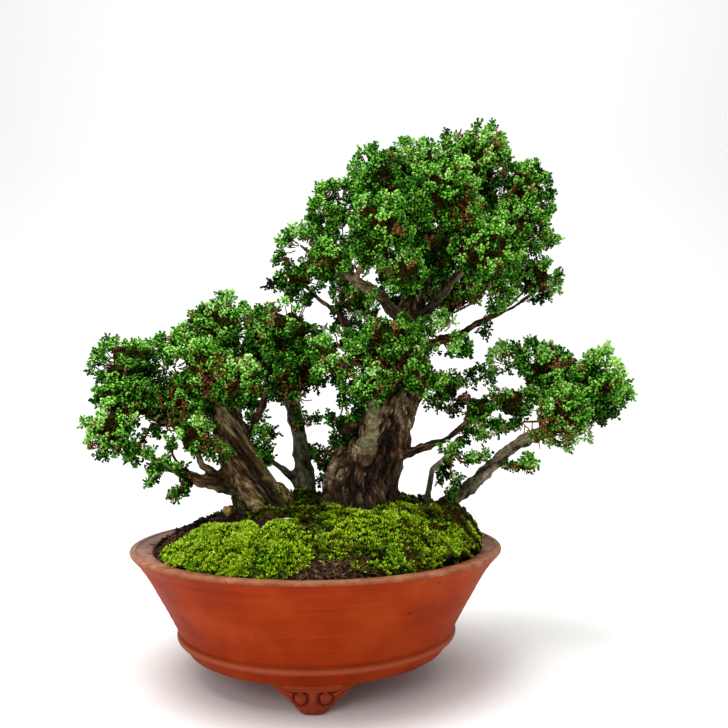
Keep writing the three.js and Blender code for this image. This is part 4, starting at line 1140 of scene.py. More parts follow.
def bark_relief(points, number, along, outward, radius, depth, planks):
    """Height of the bark, and how dark it is painted there (0 to 1): dark in the splits, their own dark and
    painted shade, and painted shade in the chips and the rifts and between the flutes. Round the limb the
    fields are read at the point radius * outward, and along it at along * stretch, so their cells are long
    and narrow. A fixed turn keeps the lattice of the fields from lying square to the limb. Flutes are the
    longest forms, plates the middle ones and flakes the smallest. A split is where the plate field is near
    zero: 1 - |n|, to a power. Rifts are deep splits between groups of plates in thick bark. `planks` (0 to
    1) draws the plates out near the foot, where the bark is also coarsest. Thin limbs have knobs instead.
    The last results are the place in the fields, for the fine grain, and how much lighter the bark is
    painted where it stands out, as weathering and a painted highlight."""
    shell = outward * radius[:, None] + number[:, None] * 41.7
    course = along - planks * 48 * (1 - np.exp(-along / 48))
    grain = (shell + course[:, None] * PLATE_STRETCH) @ BARK_TILT
    flutes = noise(shell + along[:, None] * 0.045, 9, 7, 2)
    plates = noise(grain, 6.0, 3, 2)
    flakes = noise((shell + along[:, None] * FLAKE_STRETCH) @ BARK_TILT, 2.6, 9, 2)
    splits = np.clip(1 - np.abs(plates) * (3.0 - 1.4 * planks), 0, 1) ** 1.3
    chips = np.clip(1 - np.abs(flakes) * 2.4, 0, 1)
    thick = np.clip(radius / 14, 0.1, 1)
    rifts = thick * smooth_step(depth, 1.2, 2) * np.clip(1 - np.abs(noise(grain, 14, 43, 1)) * 4.2, 0, 1)
    knobs = noise(points, 5, 12, 2) * radius * 0.2 * smooth_step(8 - radius, 0, 3)
    foot = 0.5 + 1.6 * smooth_step(120 - points[:, 2], 0, 24)
    height = depth * thick * (0.5 * plates - (1.0 + 0.7 * foot) * splits - 0.9 * chips + 1.2 * foot * flutes)
    height += knobs - 2.6 * rifts
    # Painted highlight, with weathering: raised plates, flakes and flutes are painted lighter.
    worn = smooth_step(plates + 0.6 * flakes + 0.3 * flutes, 0.35, 1.1)
    # Painted shade, with the splits' own dark: splits, chips and rifts are painted dark, flute tops lighter.
    cracks_and_shade = (0.9 + 0.2 * foot) * splits + 0.62 * chips + 1.3 * rifts - 0.4 * foot * flutes
    return height, np.clip(cracks_and_shade, 0, 1), grain, worn


print("plates are", round(1 / np.linalg.norm(PLATE_STRETCH), 1), "times as long as they are wide")

# %% [markdown]
# ## Bark
# The old bark of hinoki is red-brown and peels in long fibrous strips; weather bleaches what stands out,
# and the splits stay nearly black. Here what stands out is also painted lighter as a highlight, and the
# splits and other low places are painted dark as shade. Young bark is smooth, grey and flecked with
# lichen, and green film grows near the damp foot. A picture of bark would show its seams on a round
# trunk. The relief's own fields have none, so the material reads its grain from them.


# %% Material: bark
def bark_material(name, crack, low, high, red, pale):
    """Bark of a trunk: the first colour in the depths, for dark splits and painted shade, `low` to `high`
    over the plates by fibres and flakes along the limb, lifted where the bark stands out, as weathering and
    a painted highlight, patches of `red` where old bark has peeled, and `pale` for young bark with flecks
    of lichen, each by its own attribute. The attribute `grain` is the place in a field that is stretched
    along the limb: fibres of 1.2 mm and flakes of 1.9 mm there are about three times as long on the wood."""
    bark = blank_material(name)
    grain = add(bark, "Attribute", attribute_name="grain")
    fibres = add(bark, "TexNoise", {"Vector": (grain, "Vector"), "Scale": cells(1.22), "Detail": 4,
                                    "Roughness": 0.75})
    flakes = add(bark, "TexVoronoi", {"Vector": (grain, "Vector"), "Scale": cells(1.923)})
    ajar = add(bark, "MapRange", {"Value": (flakes, "Distance"), 1: 0.2, 2: 0.75, 3: 0.05, 4: -0.16})
    # Painted highlight: the ramp is lifted where the bark stands out, as weathering and highlight.
    worn = add(bark, "Attribute", attribute_name="worn")
    lift = add(bark, "Math", {0: (worn, "Fac"), 1: 0.15, 2: (ajar, "Result")}, operation="MULTIPLY_ADD")
    level = add(bark, "Math", {0: (fibres, "Fac"), 1: (lift, "Value")}, operation="ADD")
    plate = add(bark, "ValToRGB", {"Fac": (level, "Value")},
                [(0.3, low), (0.42, high[0]), (0.54, high[1]), (0.66, high[2])])
    place = add(bark, "TexCoord")
    flecks = add(bark, "TexNoise", {"Vector": (place, "Object"), "Scale": cells(2.38), "Detail": 4})
    lichen = add(bark, "ValToRGB", {"Fac": (flecks, "Fac")},
                 [(0.4, pale[0]), (0.58, pale[1]), (0.7, "#b9b79c")])
    colour = layered(bark, (plate, "Color"), [("peeled", red), ("young", (lichen, "Color")),
                                              ("green", "#333f10"), ("crack", crack)])
    relief = add(bark, "Bump", {"Height": (level, "Value"), "Strength": 1.0, "Distance": 2.2 * MM})
    shader = add(bark, "BsdfPrincipled", {"Base Color": colour, "Roughness": 0.85,
                                          "Specular IOR Level": 0.15, "Normal": (relief, "Normal")})
    add(bark, "OutputMaterial", {"Surface": (shader, "BSDF")})
    return bark


BARKS = {
    "trunk_left": bark_material("brown fibrous bark", "#0d0603", "#22160d",
                                ("#5d4630", "#92794f", "#c4ad80"), "#6a3a22", ("#565038", "#8a8462")),
    "trunk_thin": bark_material("grey-brown bark", "#100c08", "#292419", ("#6b6650", "#9c9578", "#c8c0a0"),
                                "#5a3d2a", ("#5c5942", "#8f8b6c")),
    "trunk_main": bark_material("old fissured bark", "#080402", "#20140b", ("#634a34", "#a48560", "#dcc49d"),
                                "#703a20", ("#6b6142", "#9d926c")),
    "twig_low": bark_material("lichened twig bark", "#1c150d", "#3c3123", ("#6c6047", "#948868", "#b5aa8c"),
                              "#5c4230", ("#6f6a50", "#a09b7c")),
    "trunk_right": bark_material("pale young bark", "#1d150d", "#463b2b", ("#82755b", "#b0a487", "#cdc3a5"),
                                 "#70452f", ("#776a52", "#aa9c80")),
}
print("barks:", [bark.name for bark in BARKS.values()])

# %% [markdown]
# ## The trunks
# The left and the main trunk are old, thick and deeply split. The others are younger, thin and paler. All
# go through one function, so the same rules give old and young wood. Only the main trunk has forms of its
# own: long planks and a drawn-in foot, a waist, and a young branch that springs from a collar on its front.

# %% Wood: what sets the trunks apart
# Each trunk: the size of its net's squares, the depth of its bark, and how pale and how red it is.
TRUNKS = {
    "trunk_left": (1.0, 1.5, 0.0, 0.4),
    "trunk_thin": (0.95, 0.9, 0.5, 0.1),
    "trunk_main": (1.15, 2.2, 0.0, 0.5),
    "twig_low": (0.6, 0.7, 0.6, 0.0),
    "trunk_right": (0.8, 1.3, 0.7, 0.15),
}
STUB = 5  # the young branch on the front of the main trunk, by its place in its list of limbs
# Its visible part: a straight stem on a collar that swells to the left and dives into the old wood.
STUB_PATH = [
    (32.6, -33.5, 165, 3.2), (32.6, -32.6, 153, 3.9), (32.6, -31.8, 143, 4.2), (32.2, -31, 139, 4.5),
    (31, -29.6, 136.2, 5.3), (29.6, -26.5, 133.2, 6.3), (28.6, -20, 130.5, 6.4), (28, -12, 129, 5),
]
BRANCH_SHARE = 0.16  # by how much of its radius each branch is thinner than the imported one
BARK_SLOTS = {"trunk_left": "bark_brown", "trunk_thin": "bark_grey", "trunk_main": "bark_dark"}


def main_form(points, number, beside):
    """Where the main trunk leaves its packed form. Its foot and its waist are drawn in on the right. The
    net of its young branch stands back behind the new one, and a hollow lies in the wood under the
    collar."""
    foot = 1 - smooth_step(points[:, 2], 92, 126)
    waist = smooth_step(points[:, 2], 96, 112) * (1 - smooth_step(points[:, 2], 150, 172))
    hollow = ditch(np.hypot(points[:, 0] - 31, points[:, 2] - 122), 9) * (points[:, 1] < -14)
    moved = np.zeros_like(points)
    moved[:, 0] = foot * (-3.5 - 0.16 * (points[:, 0] - 26)) - 3 * waist * (1 - smooth_step(beside, 22, 44))
    moved[:, 1] = 2.5 * (number == STUB) + 3.5 * hollow
    return moved


def young_branch():
    """The young branch as a tube, a little bent by noise, with its own pale bark."""
    stem, faces = swept(STUB_PATH, 18, 56)
    stem[:, 0] += 0.35 * noise(stem, 2.6, 52, 2)
    values = {"worn": 0.5, "crack": 0.35 * smooth_step(-noise(stem, 2.2, 53, 2), 0.3, 0.9), "peeled": 0,
              "young": 1 - 0.35 * smooth_step(133 - stem[:, 2], 0, 5), "grain": stem * MM, "green": 0.08}
    return stem, faces, values


print("the young branch has", len(young_branch()[0]), "points")


# %% Wood: the trunks
def trunk(node):
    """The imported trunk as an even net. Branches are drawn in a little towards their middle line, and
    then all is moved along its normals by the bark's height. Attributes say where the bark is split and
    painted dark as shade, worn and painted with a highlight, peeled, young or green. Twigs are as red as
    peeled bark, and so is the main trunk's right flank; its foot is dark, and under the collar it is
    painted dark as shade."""
    voxel, depth, pale, red = TRUNKS[node]
    main = node == "trunk_main"
    points, quads, normals = even_net(node, voxel, 4)
    limbs = [smooth_path(limb, 3 * len(limb)) for limb in LIMBS[node]]
    number, along, outward, radius, scaled = bark_coordinates(points, limbs)
    if main:
        under = (number == STUB) & (points[:, 2] < 133)
        _, along[under], outward[under], radius[under], _ = bark_coordinates(points[under], limbs[:1])
        number[under] = 0
    height, splits, grain, worn = bark_relief(points, number, along, outward, radius, depth, 0.65 * main)
    branch = (number > 0) * (number != STUB) * smooth_step(along, 3, 12)
    moved = points + normals * height[:, None] - outward * (BRANCH_SHARE * branch * radius)[:, None]
    peeled = red * smooth_step(noise(points, 15, 23, 3), -0.1, 0.7)
    young = np.clip(pale * (0.75 + 0.7 * noise(points, 9, 25, 2)), 0, 1)
    if main:
        beside = points[:, 0] - np.interp(points[:, 2], limbs[0][:, 2], limbs[0][:, 0])
        moved += main_form(points, number, beside)
        low = 1 - smooth_step(points[:, 2], 130, 150)
        peeled += 0.35 * smooth_step(beside, 2, 10) * low * (points[:, 1] < 5)
        young = np.maximum(young, 0.5 * ((number == 1) | (number == 2)) * smooth_step(along, 4, 12))
    twig = np.clip(smooth_step(scaled, 1.5, 2.5) + smooth_step(2.6 - radius, 0, 1) + 0.7 * branch, 0, 1)
    peeled = np.clip(np.maximum(peeled, 0.4 * twig), 0, 1)
    damp = 1 - smooth_step(points[:, 2] + 6 * noise(points, 9, 28, 2), 94, 112)
    olive = 0.5 * smooth_step(noise(points, 17, 29, 2), 0.1, 0.6)
    # The dark layer is the splits' own dark and painted shade; `worn` is weathering with a painted
    # highlight.
    values = {"worn": worn, "crack": splits * 0.88, "peeled": peeled, "young": young * (1 - 0.5 * peeled),
              "grain": grain * MM, "green": np.clip(0.6 * damp + olive * (radius > 5), 0, 0.75)}
    forms = [(moved, [quads], values)]
    if main:
        dark = 0.8 * smooth_step(124 - points[:, 2] + 9 * noise(points, 12, 26, 2), 0, 26)
        # Painted shade under the collar of the young branch.
        lip = ditch(np.hypot((moved[:, 0] - 29) / 1.7, moved[:, 2] - 126), 5) * (moved[:, 1] < -12)
        values["crack"] = np.maximum(values["crack"], np.maximum(0.8 * dark, 0.75 * lip))
        values["green"] *= 1 - 0.6 * dark
        forms.append(young_branch())
    moved, faces, values = joined(forms)
    piece(node + "_bark", moved, faces, BARKS[node], node, BARK_SLOTS.get(node, "bark_pale"), values)


for node in TRUNKS:
    trunk(node)

# %% [markdown]
# ## Foliage
# Hinoki foliage has no needles: its twigs are clad in tiny blunt scales, and in this dwarf form they end in
# tight knobbly sprigs about 5 mm wide, which crowd together in little heads like coral. So one lobe is a
# blunt wedge, a sprig is nine lobes in tiers on a short axis, a head is a few sprigs round one growing
# point, and a pad is a shell of heads over a core painted dark as shade, each fed by its own red-brown
# twig.

# %% Foliage: a lobe and a sprig
LOBE = np.array([[0, 0, 0], [0.36, 0, 0.96], [-0.18, 0.31, 1.0], [-0.18, -0.31, 1.0]])
LOBE_FACES = np.array([[0, 2, 1], [0, 3, 2], [0, 1, 3], [1, 2, 3]])
# How light each corner is painted: the foot of a lobe dark, as shade, the blunt end light.
LOBE_LIGHT = np.array([0.0, 0.9, 0.9, 0.9])
SPRIG_KINDS = 12
# The nine lobes: height on the axis (mm), lean from it (degrees), side it points to (degrees), length (mm).
SPRIG_PLAN = np.array([
    (0.3, 76, 0, 2.1), (0.4, 74, 180, 2.1), (0.8, 60, 95, 1.9), (1.4, 60, 10, 2.2), (1.5, 56, 190, 2.2),
    (1.8, 48, -80, 1.9), (2.4, 36, 0, 2.1), (2.6, 32, 180, 2.1), (3.0, 4, 0, 2.1),
])


def sprig_shape(random):
    """Each lobe's own axes are d = (sin lean cos side, sin lean sin side, cos lean), its flat side (cos
    lean cos side, cos lean sin side, -sin lean) and the normal of the two. Its corner (a, b, c) stands
    at (0, 0, height) + length (a flat + b normal + c d). Returns points, faces and how light each point
    is painted: dark at the foot of a lobe, as shade, and light at its tips."""
    plan = SPRIG_PLAN * random.uniform(0.85, 1.15, SPRIG_PLAN.shape)
    height, length = plan[:, 0], plan[:, 3]
    lean = np.radians(plan[:, 1] + random.normal(0, 6, len(plan)))
    side = np.radians(SPRIG_PLAN[:, 2] + random.normal(0, 18, len(plan)))
    along = leaning(lean, side)
    flat = leaning(lean + np.pi / 2, side)
    axes = np.stack([flat, np.cross(along, flat), along], 1)
    points = np.einsum("kc,nci->nki", LOBE, axes) * length[:, None, None]
    points[..., 2] += height[:, None]
    faces = (LOBE_FACES[None] + len(LOBE) * np.arange(len(plan))[:, None, None]).reshape(-1, 3)
    light = np.tile(LOBE_LIGHT, len(plan)) + np.repeat(random.normal(0, 0.22, len(plan)), len(LOBE))
    light += random.normal(0, 0.1, len(light))
    return points.reshape(-1, 3), faces, light


sprig_random = np.random.default_rng(5)
SPRIGS = [sprig_shape(sprig_random) for _ in range(SPRIG_KINDS)]
print("a sprig has", len(SPRIGS[0][1]), "faces")

# %% [markdown]
# ## Where the foliage grows
# The pads are rounded parts at the ends of the limbs. Between them hang loose sprays, each a short row of
# heads along a path, and in a few places old twigs show bare. The tree is not closed everywhere: in some
# places the branches leave a window, and no head grows in the line of sight through it. These are listed
# one by one, and the rules below fill them.

# %% Foliage: the pads
# Each pad: its painted light and shade, from BRIGHT to SHADED, and its rounded parts as (x, y, z, radius).
BRIGHT, PLAIN, SHADED = 0.1, 0.03, -0.09
PADS = {
    "leaf_left_tip_low": (BRIGHT, [(-119, -20, 142, 18), (-103, -22, 134, 12), (-126, -14, 160, 10)]),
    "leaf_left_tip_high": (PLAIN, [(-121, 8, 178, 22), (-97, 14, 177, 19), (-112, -4, 158, 16),
                                   (-101, 0, 192, 9)]),
    "leaf_left_crown": (PLAIN, [(-62, 5, 204, 22), (-80, -6, 190, 17), (-76, -4, 206, 8)]),
    "leaf_left_crown_right": (PLAIN, [(-38, 14, 196, 20), (-35, 8, 212, 9)]),
    "leaf_left_front": (BRIGHT, [(-65, -24, 175, 19), (-44, -27, 168, 16)]),
    "leaf_left_under": (SHADED, [(-84, -14, 157, 15), (-70, -12, 156, 11)]),
    "leaf_left_low_front": (BRIGHT, [(-69, -30, 137, 13), (-56, -26, 130, 7)]),
    "leaf_left_low": (PLAIN, [(-92, -25, 124, 9), (-80, -24, 122, 8)]),
    "leaf_between_low": (PLAIN, [(-34, -3, 124, 11), (-37, -6, 137, 8)]),
    "leaf_between_back": (SHADED, [(4, 25, 127, 13), (6, 26, 110, 10)]),
    "leaf_between_mid": (SHADED, [(-28, 6, 142, 9), (-38, 4, 150, 8)]),
    "leaf_left_back": (PLAIN, [(-84, 42, 186, 22)]),
    "leaf_left_back_right": (SHADED, [(-54, 42, 168, 19)]),
    "leaf_left_back_low": (SHADED, [(-110, 36, 154, 17)]),
    "leaf_mid_high": (PLAIN, [(-17, 2, 201, 21)]),
    "leaf_mid_low": (SHADED, [(-13, -8, 174, 17), (-28, 4, 163, 9)]),
    "leaf_thin_side": (SHADED, [(-9, 3, 147, 11)]),
    "leaf_mid_back": (SHADED, [(-24, 42, 182, 20)]),
    "leaf_main_dark": (SHADED, [(13, -13, 148, 13), (12, -12, 162, 8), (24, -12, 158, 8),
                                (14, -14, 137, 7)]),
    "leaf_main_left": (PLAIN, [(15, -24, 183, 20)]),
    "leaf_main_front": (BRIGHT, [(44, -28, 190, 20)]),
    "leaf_stub": (BRIGHT, [(32, -36, 165, 12)]),
    "leaf_main_right": (BRIGHT, [(72, -20, 196, 17), (64, -24, 174, 15), (86, -14, 191, 9),
                                 (76, -18, 178, 9)]),
    "leaf_main_side": (SHADED, [(92, 6, 168, 13), (101, 2, 153, 12), (79, 8, 166, 10), (104, 4, 176, 9),
                                (112, 2, 160, 9)]),
    "leaf_main_back": (PLAIN, [(52, 46, 180, 24)]),
    "leaf_main_back_left": (SHADED, [(12, 44, 199, 21)]),
    "leaf_crown_far_left": (PLAIN, [(-8, -5, 253, 16), (-13, 4, 236, 15), (8, -16, 243, 15),
                                    (-20, 0, 240, 8)]),
    "leaf_crown_left": (PLAIN, [(14, -8, 275, 20), (36, -8, 292, 22), (8, -6, 288, 9)]),
    "leaf_crown_front_left": (BRIGHT, [(36, -38, 256, 22), (52, -36, 234, 14), (44, -28, 225, 9),
                                       (25, 10, 222, 11), (10, 4, 220, 9), (14, 8, 231, 9),
                                       (33, 2, 210, 7), (29, -10, 242, 7)]),
    "leaf_crown_top": (BRIGHT, [(62, 2, 305, 21), (97, -4, 307, 23), (110, -2, 314, 10)]),
    "leaf_crown_right_high": (PLAIN, [(128, 2, 289, 21), (134, 0, 302, 9)]),
    "leaf_crown_right": (PLAIN, [(122, -8, 264, 20), (138, -6, 258, 8)]),
    "leaf_crown_front": (BRIGHT, [(74, -38, 276, 23), (97, -34, 248, 21)]),
    "leaf_crown_inner": (SHADED, [(72, -22, 248, 17), (56, -4, 256, 13), (84, 2, 226, 13),
                                  (44, 4, 238, 11), (62, 14, 228, 10)]),
    "leaf_crown_low_right": (PLAIN, [(106, 4, 231, 18)]),
    "leaf_crown_branch": (PLAIN, [(139, 14, 238, 15), (150, 14, 234, 8)]),
    "leaf_crown_back_left": (PLAIN, [(6, 42, 270, 23)]),
    "leaf_crown_back": (PLAIN, [(54, 46, 296, 27)]),
    "leaf_crown_back_right": (PLAIN, [(102, 44, 288, 26)]),
    "leaf_crown_back_low": (SHADED, [(122, 44, 250, 21)]),
    "leaf_crown_back_mid": (SHADED, [(64, 50, 240, 24)]),
    "leaf_right_high": (PLAIN, [(140, 0, 177, 20), (116, 4, 181, 14), (120, 6, 158, 14), (128, 0, 189, 9)]),
    "leaf_right_tip": (BRIGHT, [(171, 0, 171, 20), (174, 4, 155, 13), (187, 0, 166, 8)]),
    "leaf_right_front": (PLAIN, [(148, -12, 152, 16), (160, -12, 140, 8)]),
    "leaf_right_under": (PLAIN, [(128, -8, 122, 6)]),
    "leaf_right_back": (SHADED, [(158, 36, 167, 20)]),
    "leaf_low_spray": (PLAIN, [(80, -12, 131, 9), (97, -6, 142, 9)]),
}
ALL_PARTS = np.array([part for _, parts in PADS.values() for part in parts], float)
print(len(PADS), "pads with", len(ALL_PARTS), "parts")

# %% Foliage: sprays, tangles and windows
# The sprays of a pad, each as the path of its heads.
SPRAYS = {
    "leaf_crown_top": [[(78, -4, 314), (79, -4, 326)], [(103, -4, 320), (107, -4, 330)]],
    "leaf_crown_left": [[(34, -6, 306), (33, -6, 318)], [(44, -6, 306), (47, -6, 314)]],
    "leaf_crown_far_left": [[(-20, -2, 248), (-27, -2, 246)], [(-20, 0, 235), (-29, 0, 232)]],
    "leaf_crown_right": [[(138, -6, 262), (147, -6, 260)]],
    "leaf_crown_branch": [[(105, 14, 212), (105, 12, 202)]],
    "leaf_crown_front_left": [[(22, -8, 222), (16, -8, 228)], [(30, -8, 214), (34, -12, 222)]],
    "leaf_crown_low_right": [[(84, 4, 214), (76, 4, 218), (70, 2, 226)],
                             [(92, 4, 222), (84, 2, 232), (76, 0, 236)]],
    "leaf_left_low": [[(-88, -24, 124), (-92, -24, 116), (-96, -24, 110)],
                      [(-76, -24, 118), (-77, -24, 109), (-80, -24, 104), (-85, -24, 102)],
                      [(-84, -24, 128), (-84, -24, 136)]],
    "leaf_left_tip_low": [[(-106, -20, 130), (-110, -20, 123)], [(-97, -20, 146), (-94, -20, 138)]],
    "leaf_right_tip": [[(186, 0, 162), (193, 0, 163)], [(176, 0, 186), (180, 0, 192)],
                       [(184, 0, 172), (189, 0, 178)]],
    "leaf_right_high": [[(122, 2, 186), (113, 2, 193)]],
    "leaf_right_front": [[(126, -2, 146), (118, 2, 142), (110, 2, 141)],
                         [(146, -8, 142), (136, -4, 136), (128, -2, 134)],
                         [(152, -8, 138), (150, -6, 130)], [(138, -8, 140), (142, -8, 132)]],
    "leaf_low_spray": [[(80, -8, 116), (84, -8, 108), (80, -8, 102)],
                       [(80, -12, 124), (76, -10, 117), (74, -8, 111)],
                       [(86, -10, 122), (94, -6, 122), (102, -4, 126)],
                       [(84, -10, 136), (92, -8, 140), (102, -6, 138)]],
    "leaf_right_under": [[(112, -2, 118), (120, -6, 119), (131, -8, 118)]],
    "leaf_main_side": [[(66, 8, 160), (76, 8, 155), (88, 6, 152)], [(104, 2, 146), (114, 4, 143)],
                       [(70, 8, 170), (82, 8, 172)]],
    "leaf_main_right": [[(84, -16, 190), (92, -14, 188)]],
    "leaf_mid_high": [[(-30, 4, 210), (-36, 6, 217)]],
    "leaf_between_back": [[(-14, 24, 128), (-6, 24, 126)], [(14, 18, 120), (12, 16, 132)]],
}
# Tangles of bare brown twigs inside a pad, each as a ball (x, y, z, radius) and how many twigs.
TANGLES = {
    "leaf_crown_front_left": [((20, -6, 236, 11), 60), ((4, -12, 240, 9), 60)],
    "leaf_left_front": [((-60, -34, 172, 9), 70)],
    "leaf_left_under": [((-80, -22, 150, 10), 60)],
    "leaf_right_front": [((140, -14, 146, 11), 90)],
    "leaf_main_front": [((42, -30, 178, 9), 60)],
    "leaf_crown_front": [((86, -46, 262, 9), 50)],
    "leaf_crown_low_right": [((98, -4, 231, 9), 40)],
    "leaf_mid_low": [((-12, -12, 164, 10), 50)],
}
# Windows: a point (x, z) in the plane y = 0 and the radius of the opening round the line of sight there.
WINDOWS = np.array([
    (70, 145, 8), (80, 142, 8), (62, 118, 7), (60, 108, 6), (-25, 149, 7), (-4, 157, 6), (7, 158, 6),
    (0, 137, 6), (-102, 136, 5), (-93, 133, 5), (-3, 213, 5), (4, 209, 3), (113, 171, 4), (120, 171, 4),
    (109, 136, 3), (121, 137, 3), (88, 112, 5), (98, 127, 4), (86, 203, 2), (-86, 181, 4), (-20, 132, 4),
    (-84, 124, 3), (-18, 120, 4), (15, 265, 4), (111, 147, 4), (93, 139, 3), (-33, 113, 4),
    (-110, 143, 3), (100, 165, 3), (79, 181, 4), (88, 181, 4), (77, 200, 3), (72, 110, 3), (11, 197, 3),
    (-12, 251, 5), (103, 219, 2), (-21, 216, 2), (-24, 241, 2), (71, 183, 2),
], float)
# Views of a limb: the same, but only what grows in front of y = VIEW_DEPTH is left out there.
VIEWS = np.array([(35, 226, 6), (26, 231, 5), (44, 216, 6), (30, 219, 4)], float)
VIEW_DEPTH = -12
print("sprays on", len(SPRAYS), "pads,", len(WINDOWS), "windows,", len(VIEWS), "views")

# %% [markdown]
# ## Heads and twigs
# In each pad the heads stand on its outside, where the light is, and the inside is bare twig and shade. A
# golden spiral spreads them evenly without rows, and a random field makes the shell swell and dip.

# %% Foliage: heads
HEAD_AREA = 58.2  # mm2 of shell for each head
HEAD_DEPTH = 4.8
SPRAY_STEP = 3.6


def sphere_directions(count, random):
    """Directions spread evenly by the golden spiral, z = 1 - 2 (i + 1/2) / n and a = 2.4 i, then
    jittered."""
    i = np.arange(count)
    z = 1 - 2 * (i + 0.5) / count
    flat = np.sqrt(1 - z * z)
    directions = np.stack([flat * np.cos(GOLDEN_ANGLE * i), flat * np.sin(GOLDEN_ANGLE * i), z], 1)
    return unit(directions + random.normal(0, 1.0 / np.sqrt(count), directions.shape))


def in_window(places, room=2.6):
    """True where a place is nearer than its radius to a line from the eye E through a window's point W:
    |(P - E) x u| with u = (W - E) / |W - E|. The radius grows by the `room` that what stands at the
    place takes up, and with the distance from the eye."""
    eye, holes = np.array(EYE), np.concatenate([WINDOWS, VIEWS])
    aim = np.stack([holes[:, 0], 0 * holes[:, 0], holes[:, 1]], 1) - eye
    reach = np.linalg.norm(aim, axis=1)
    aim /= reach[:, None]
    away = places[:, None, :] - eye
    scale = np.linalg.norm(away, axis=2) / reach
    blocked = np.linalg.norm(np.cross(away, aim[None]), axis=2) < (holes[:, 2] + room) * scale
    through = (np.arange(len(holes)) < len(WINDOWS)) | (places[:, 1:2] < VIEW_DEPTH)
    return (blocked & through).any(1)


def shell_heads(part, random):
    """Heads on the shell of one rounded part, 4.8 mm inside a sphere that swells and dips by a sixth
    over 11 mm. A head that would sit deep inside another part is left out. Returns places and outward
    directions."""
    centre, radius = part[:3], part[3]
    area = HEAD_AREA * (1 + 0.25 * (centre[1] > FAR_SIDE))
    directions = sphere_directions(max(5, int(4 * np.pi * (radius - 2.5) ** 2 / area)), random)
    field = noise(centre + directions * radius, 11, 61, 2)
    swell = 0.98 + 0.17 * field + random.normal(0, 0.05, len(directions))
    places = centre + directions * np.maximum(radius * swell - HEAD_DEPTH, 0.5)[:, None]
    outer = places + 4 * directions
    others = ALL_PARTS[np.abs(ALL_PARTS[:, :3] - centre).sum(1) > 0.1]
    depth = (np.linalg.norm(outer[:, None] - others[None, :, :3], axis=2) / others[None, :, 3]).min(1)
    seen = (depth > 0.74) & ~in_window(outer)
    return places[seen], directions[seen]


def spray_heads(path, random):
    """Heads every 3.6 mm along a path, facing along it and a little to random sides."""
    path = np.array(path, float)
    places, facing = [], []
    for a, b in zip(path, path[1:]):
        length = np.linalg.norm(b - a)
        steps = np.arange(0.5, 1 + length / SPRAY_STEP)[:, None] / (1 + length / SPRAY_STEP)
        places.append(a + (b - a) * np.clip(steps, 0, 1))
        facing.append(np.repeat((b - a)[None] / length, len(steps), 0))
    places, facing = np.concatenate(places), np.concatenate(facing)
    facing = facing + random.normal(0, 0.45, facing.shape)
    return places + random.normal(0, 0.5, places.shape), unit(facing)


print("a ball of 20 mm has", int(4 * np.pi * 17.5**2 / HEAD_AREA), "heads")


# %% Foliage: twigs and cores
def thin_tubes(start, end, thick, thin):
    """A three-sided twig from each start to each end, sagging by a tenth of its length in the middle."""
    run = end - start
    sagging = (start + end) / 2 - [0, 0, 0.1] * np.linalg.norm(run, axis=1)[:, None]
    middle, width = np.stack([start, sagging, end], 1), np.array([thick, (thick + thin) / 2, thin])
    return three_sided_tubes(rings_round(middle, width, run[:, None], [0.3, 0.9, 0.1]))


def core_ball(part, share, rows=9, columns=14):
    """The inside of a part, painted dark as shade: a ball so lumpy that it looks like more foliage.
    Directions come from a grid of angles, and the distance is share * radius * (1 + noise), with a rough
    field of 2.5 mm on a soft one of 9. It is drawn in where a window passes."""
    lat = np.linspace(0.15, np.pi - 0.15, rows)
    direction = leaning(lat[:, None], circle(columns)).reshape(-1, 3)
    place = part[:3] + direction * part[3]
    reach = share * part[3] * (1 + 0.3 * noise(place, 9, 71, 2) + 0.25 * noise(place, 2.5, 72, 1))
    reach = np.where(in_window(part[:3] + direction * reach[:, None], 1.0), 0.4 * reach, reach)
    return closed_form((part[:3] + direction * reach[:, None]).reshape(rows, columns, 3), reverse=True)


print("a core has", len(core_ball(ALL_PARTS[0], 0.5)[0]), "points")

# %% [markdown]
# ## The foliage's colour
# A scale leaf is waxy. Inside a pad the foliage is painted nearly black-green, as shade, outside it is
# deep green, and new tips are yellow-green with a pale bloom; the palest of it is also a painted
# highlight. Old twigs and dead sprays are red-brown. As with the moss, the net carries one tone for each
# point: painted light and shade set from the pad's brightness, the right side of the tree, the way a
# sprig points and the hollows of the pad, and a few random patches.


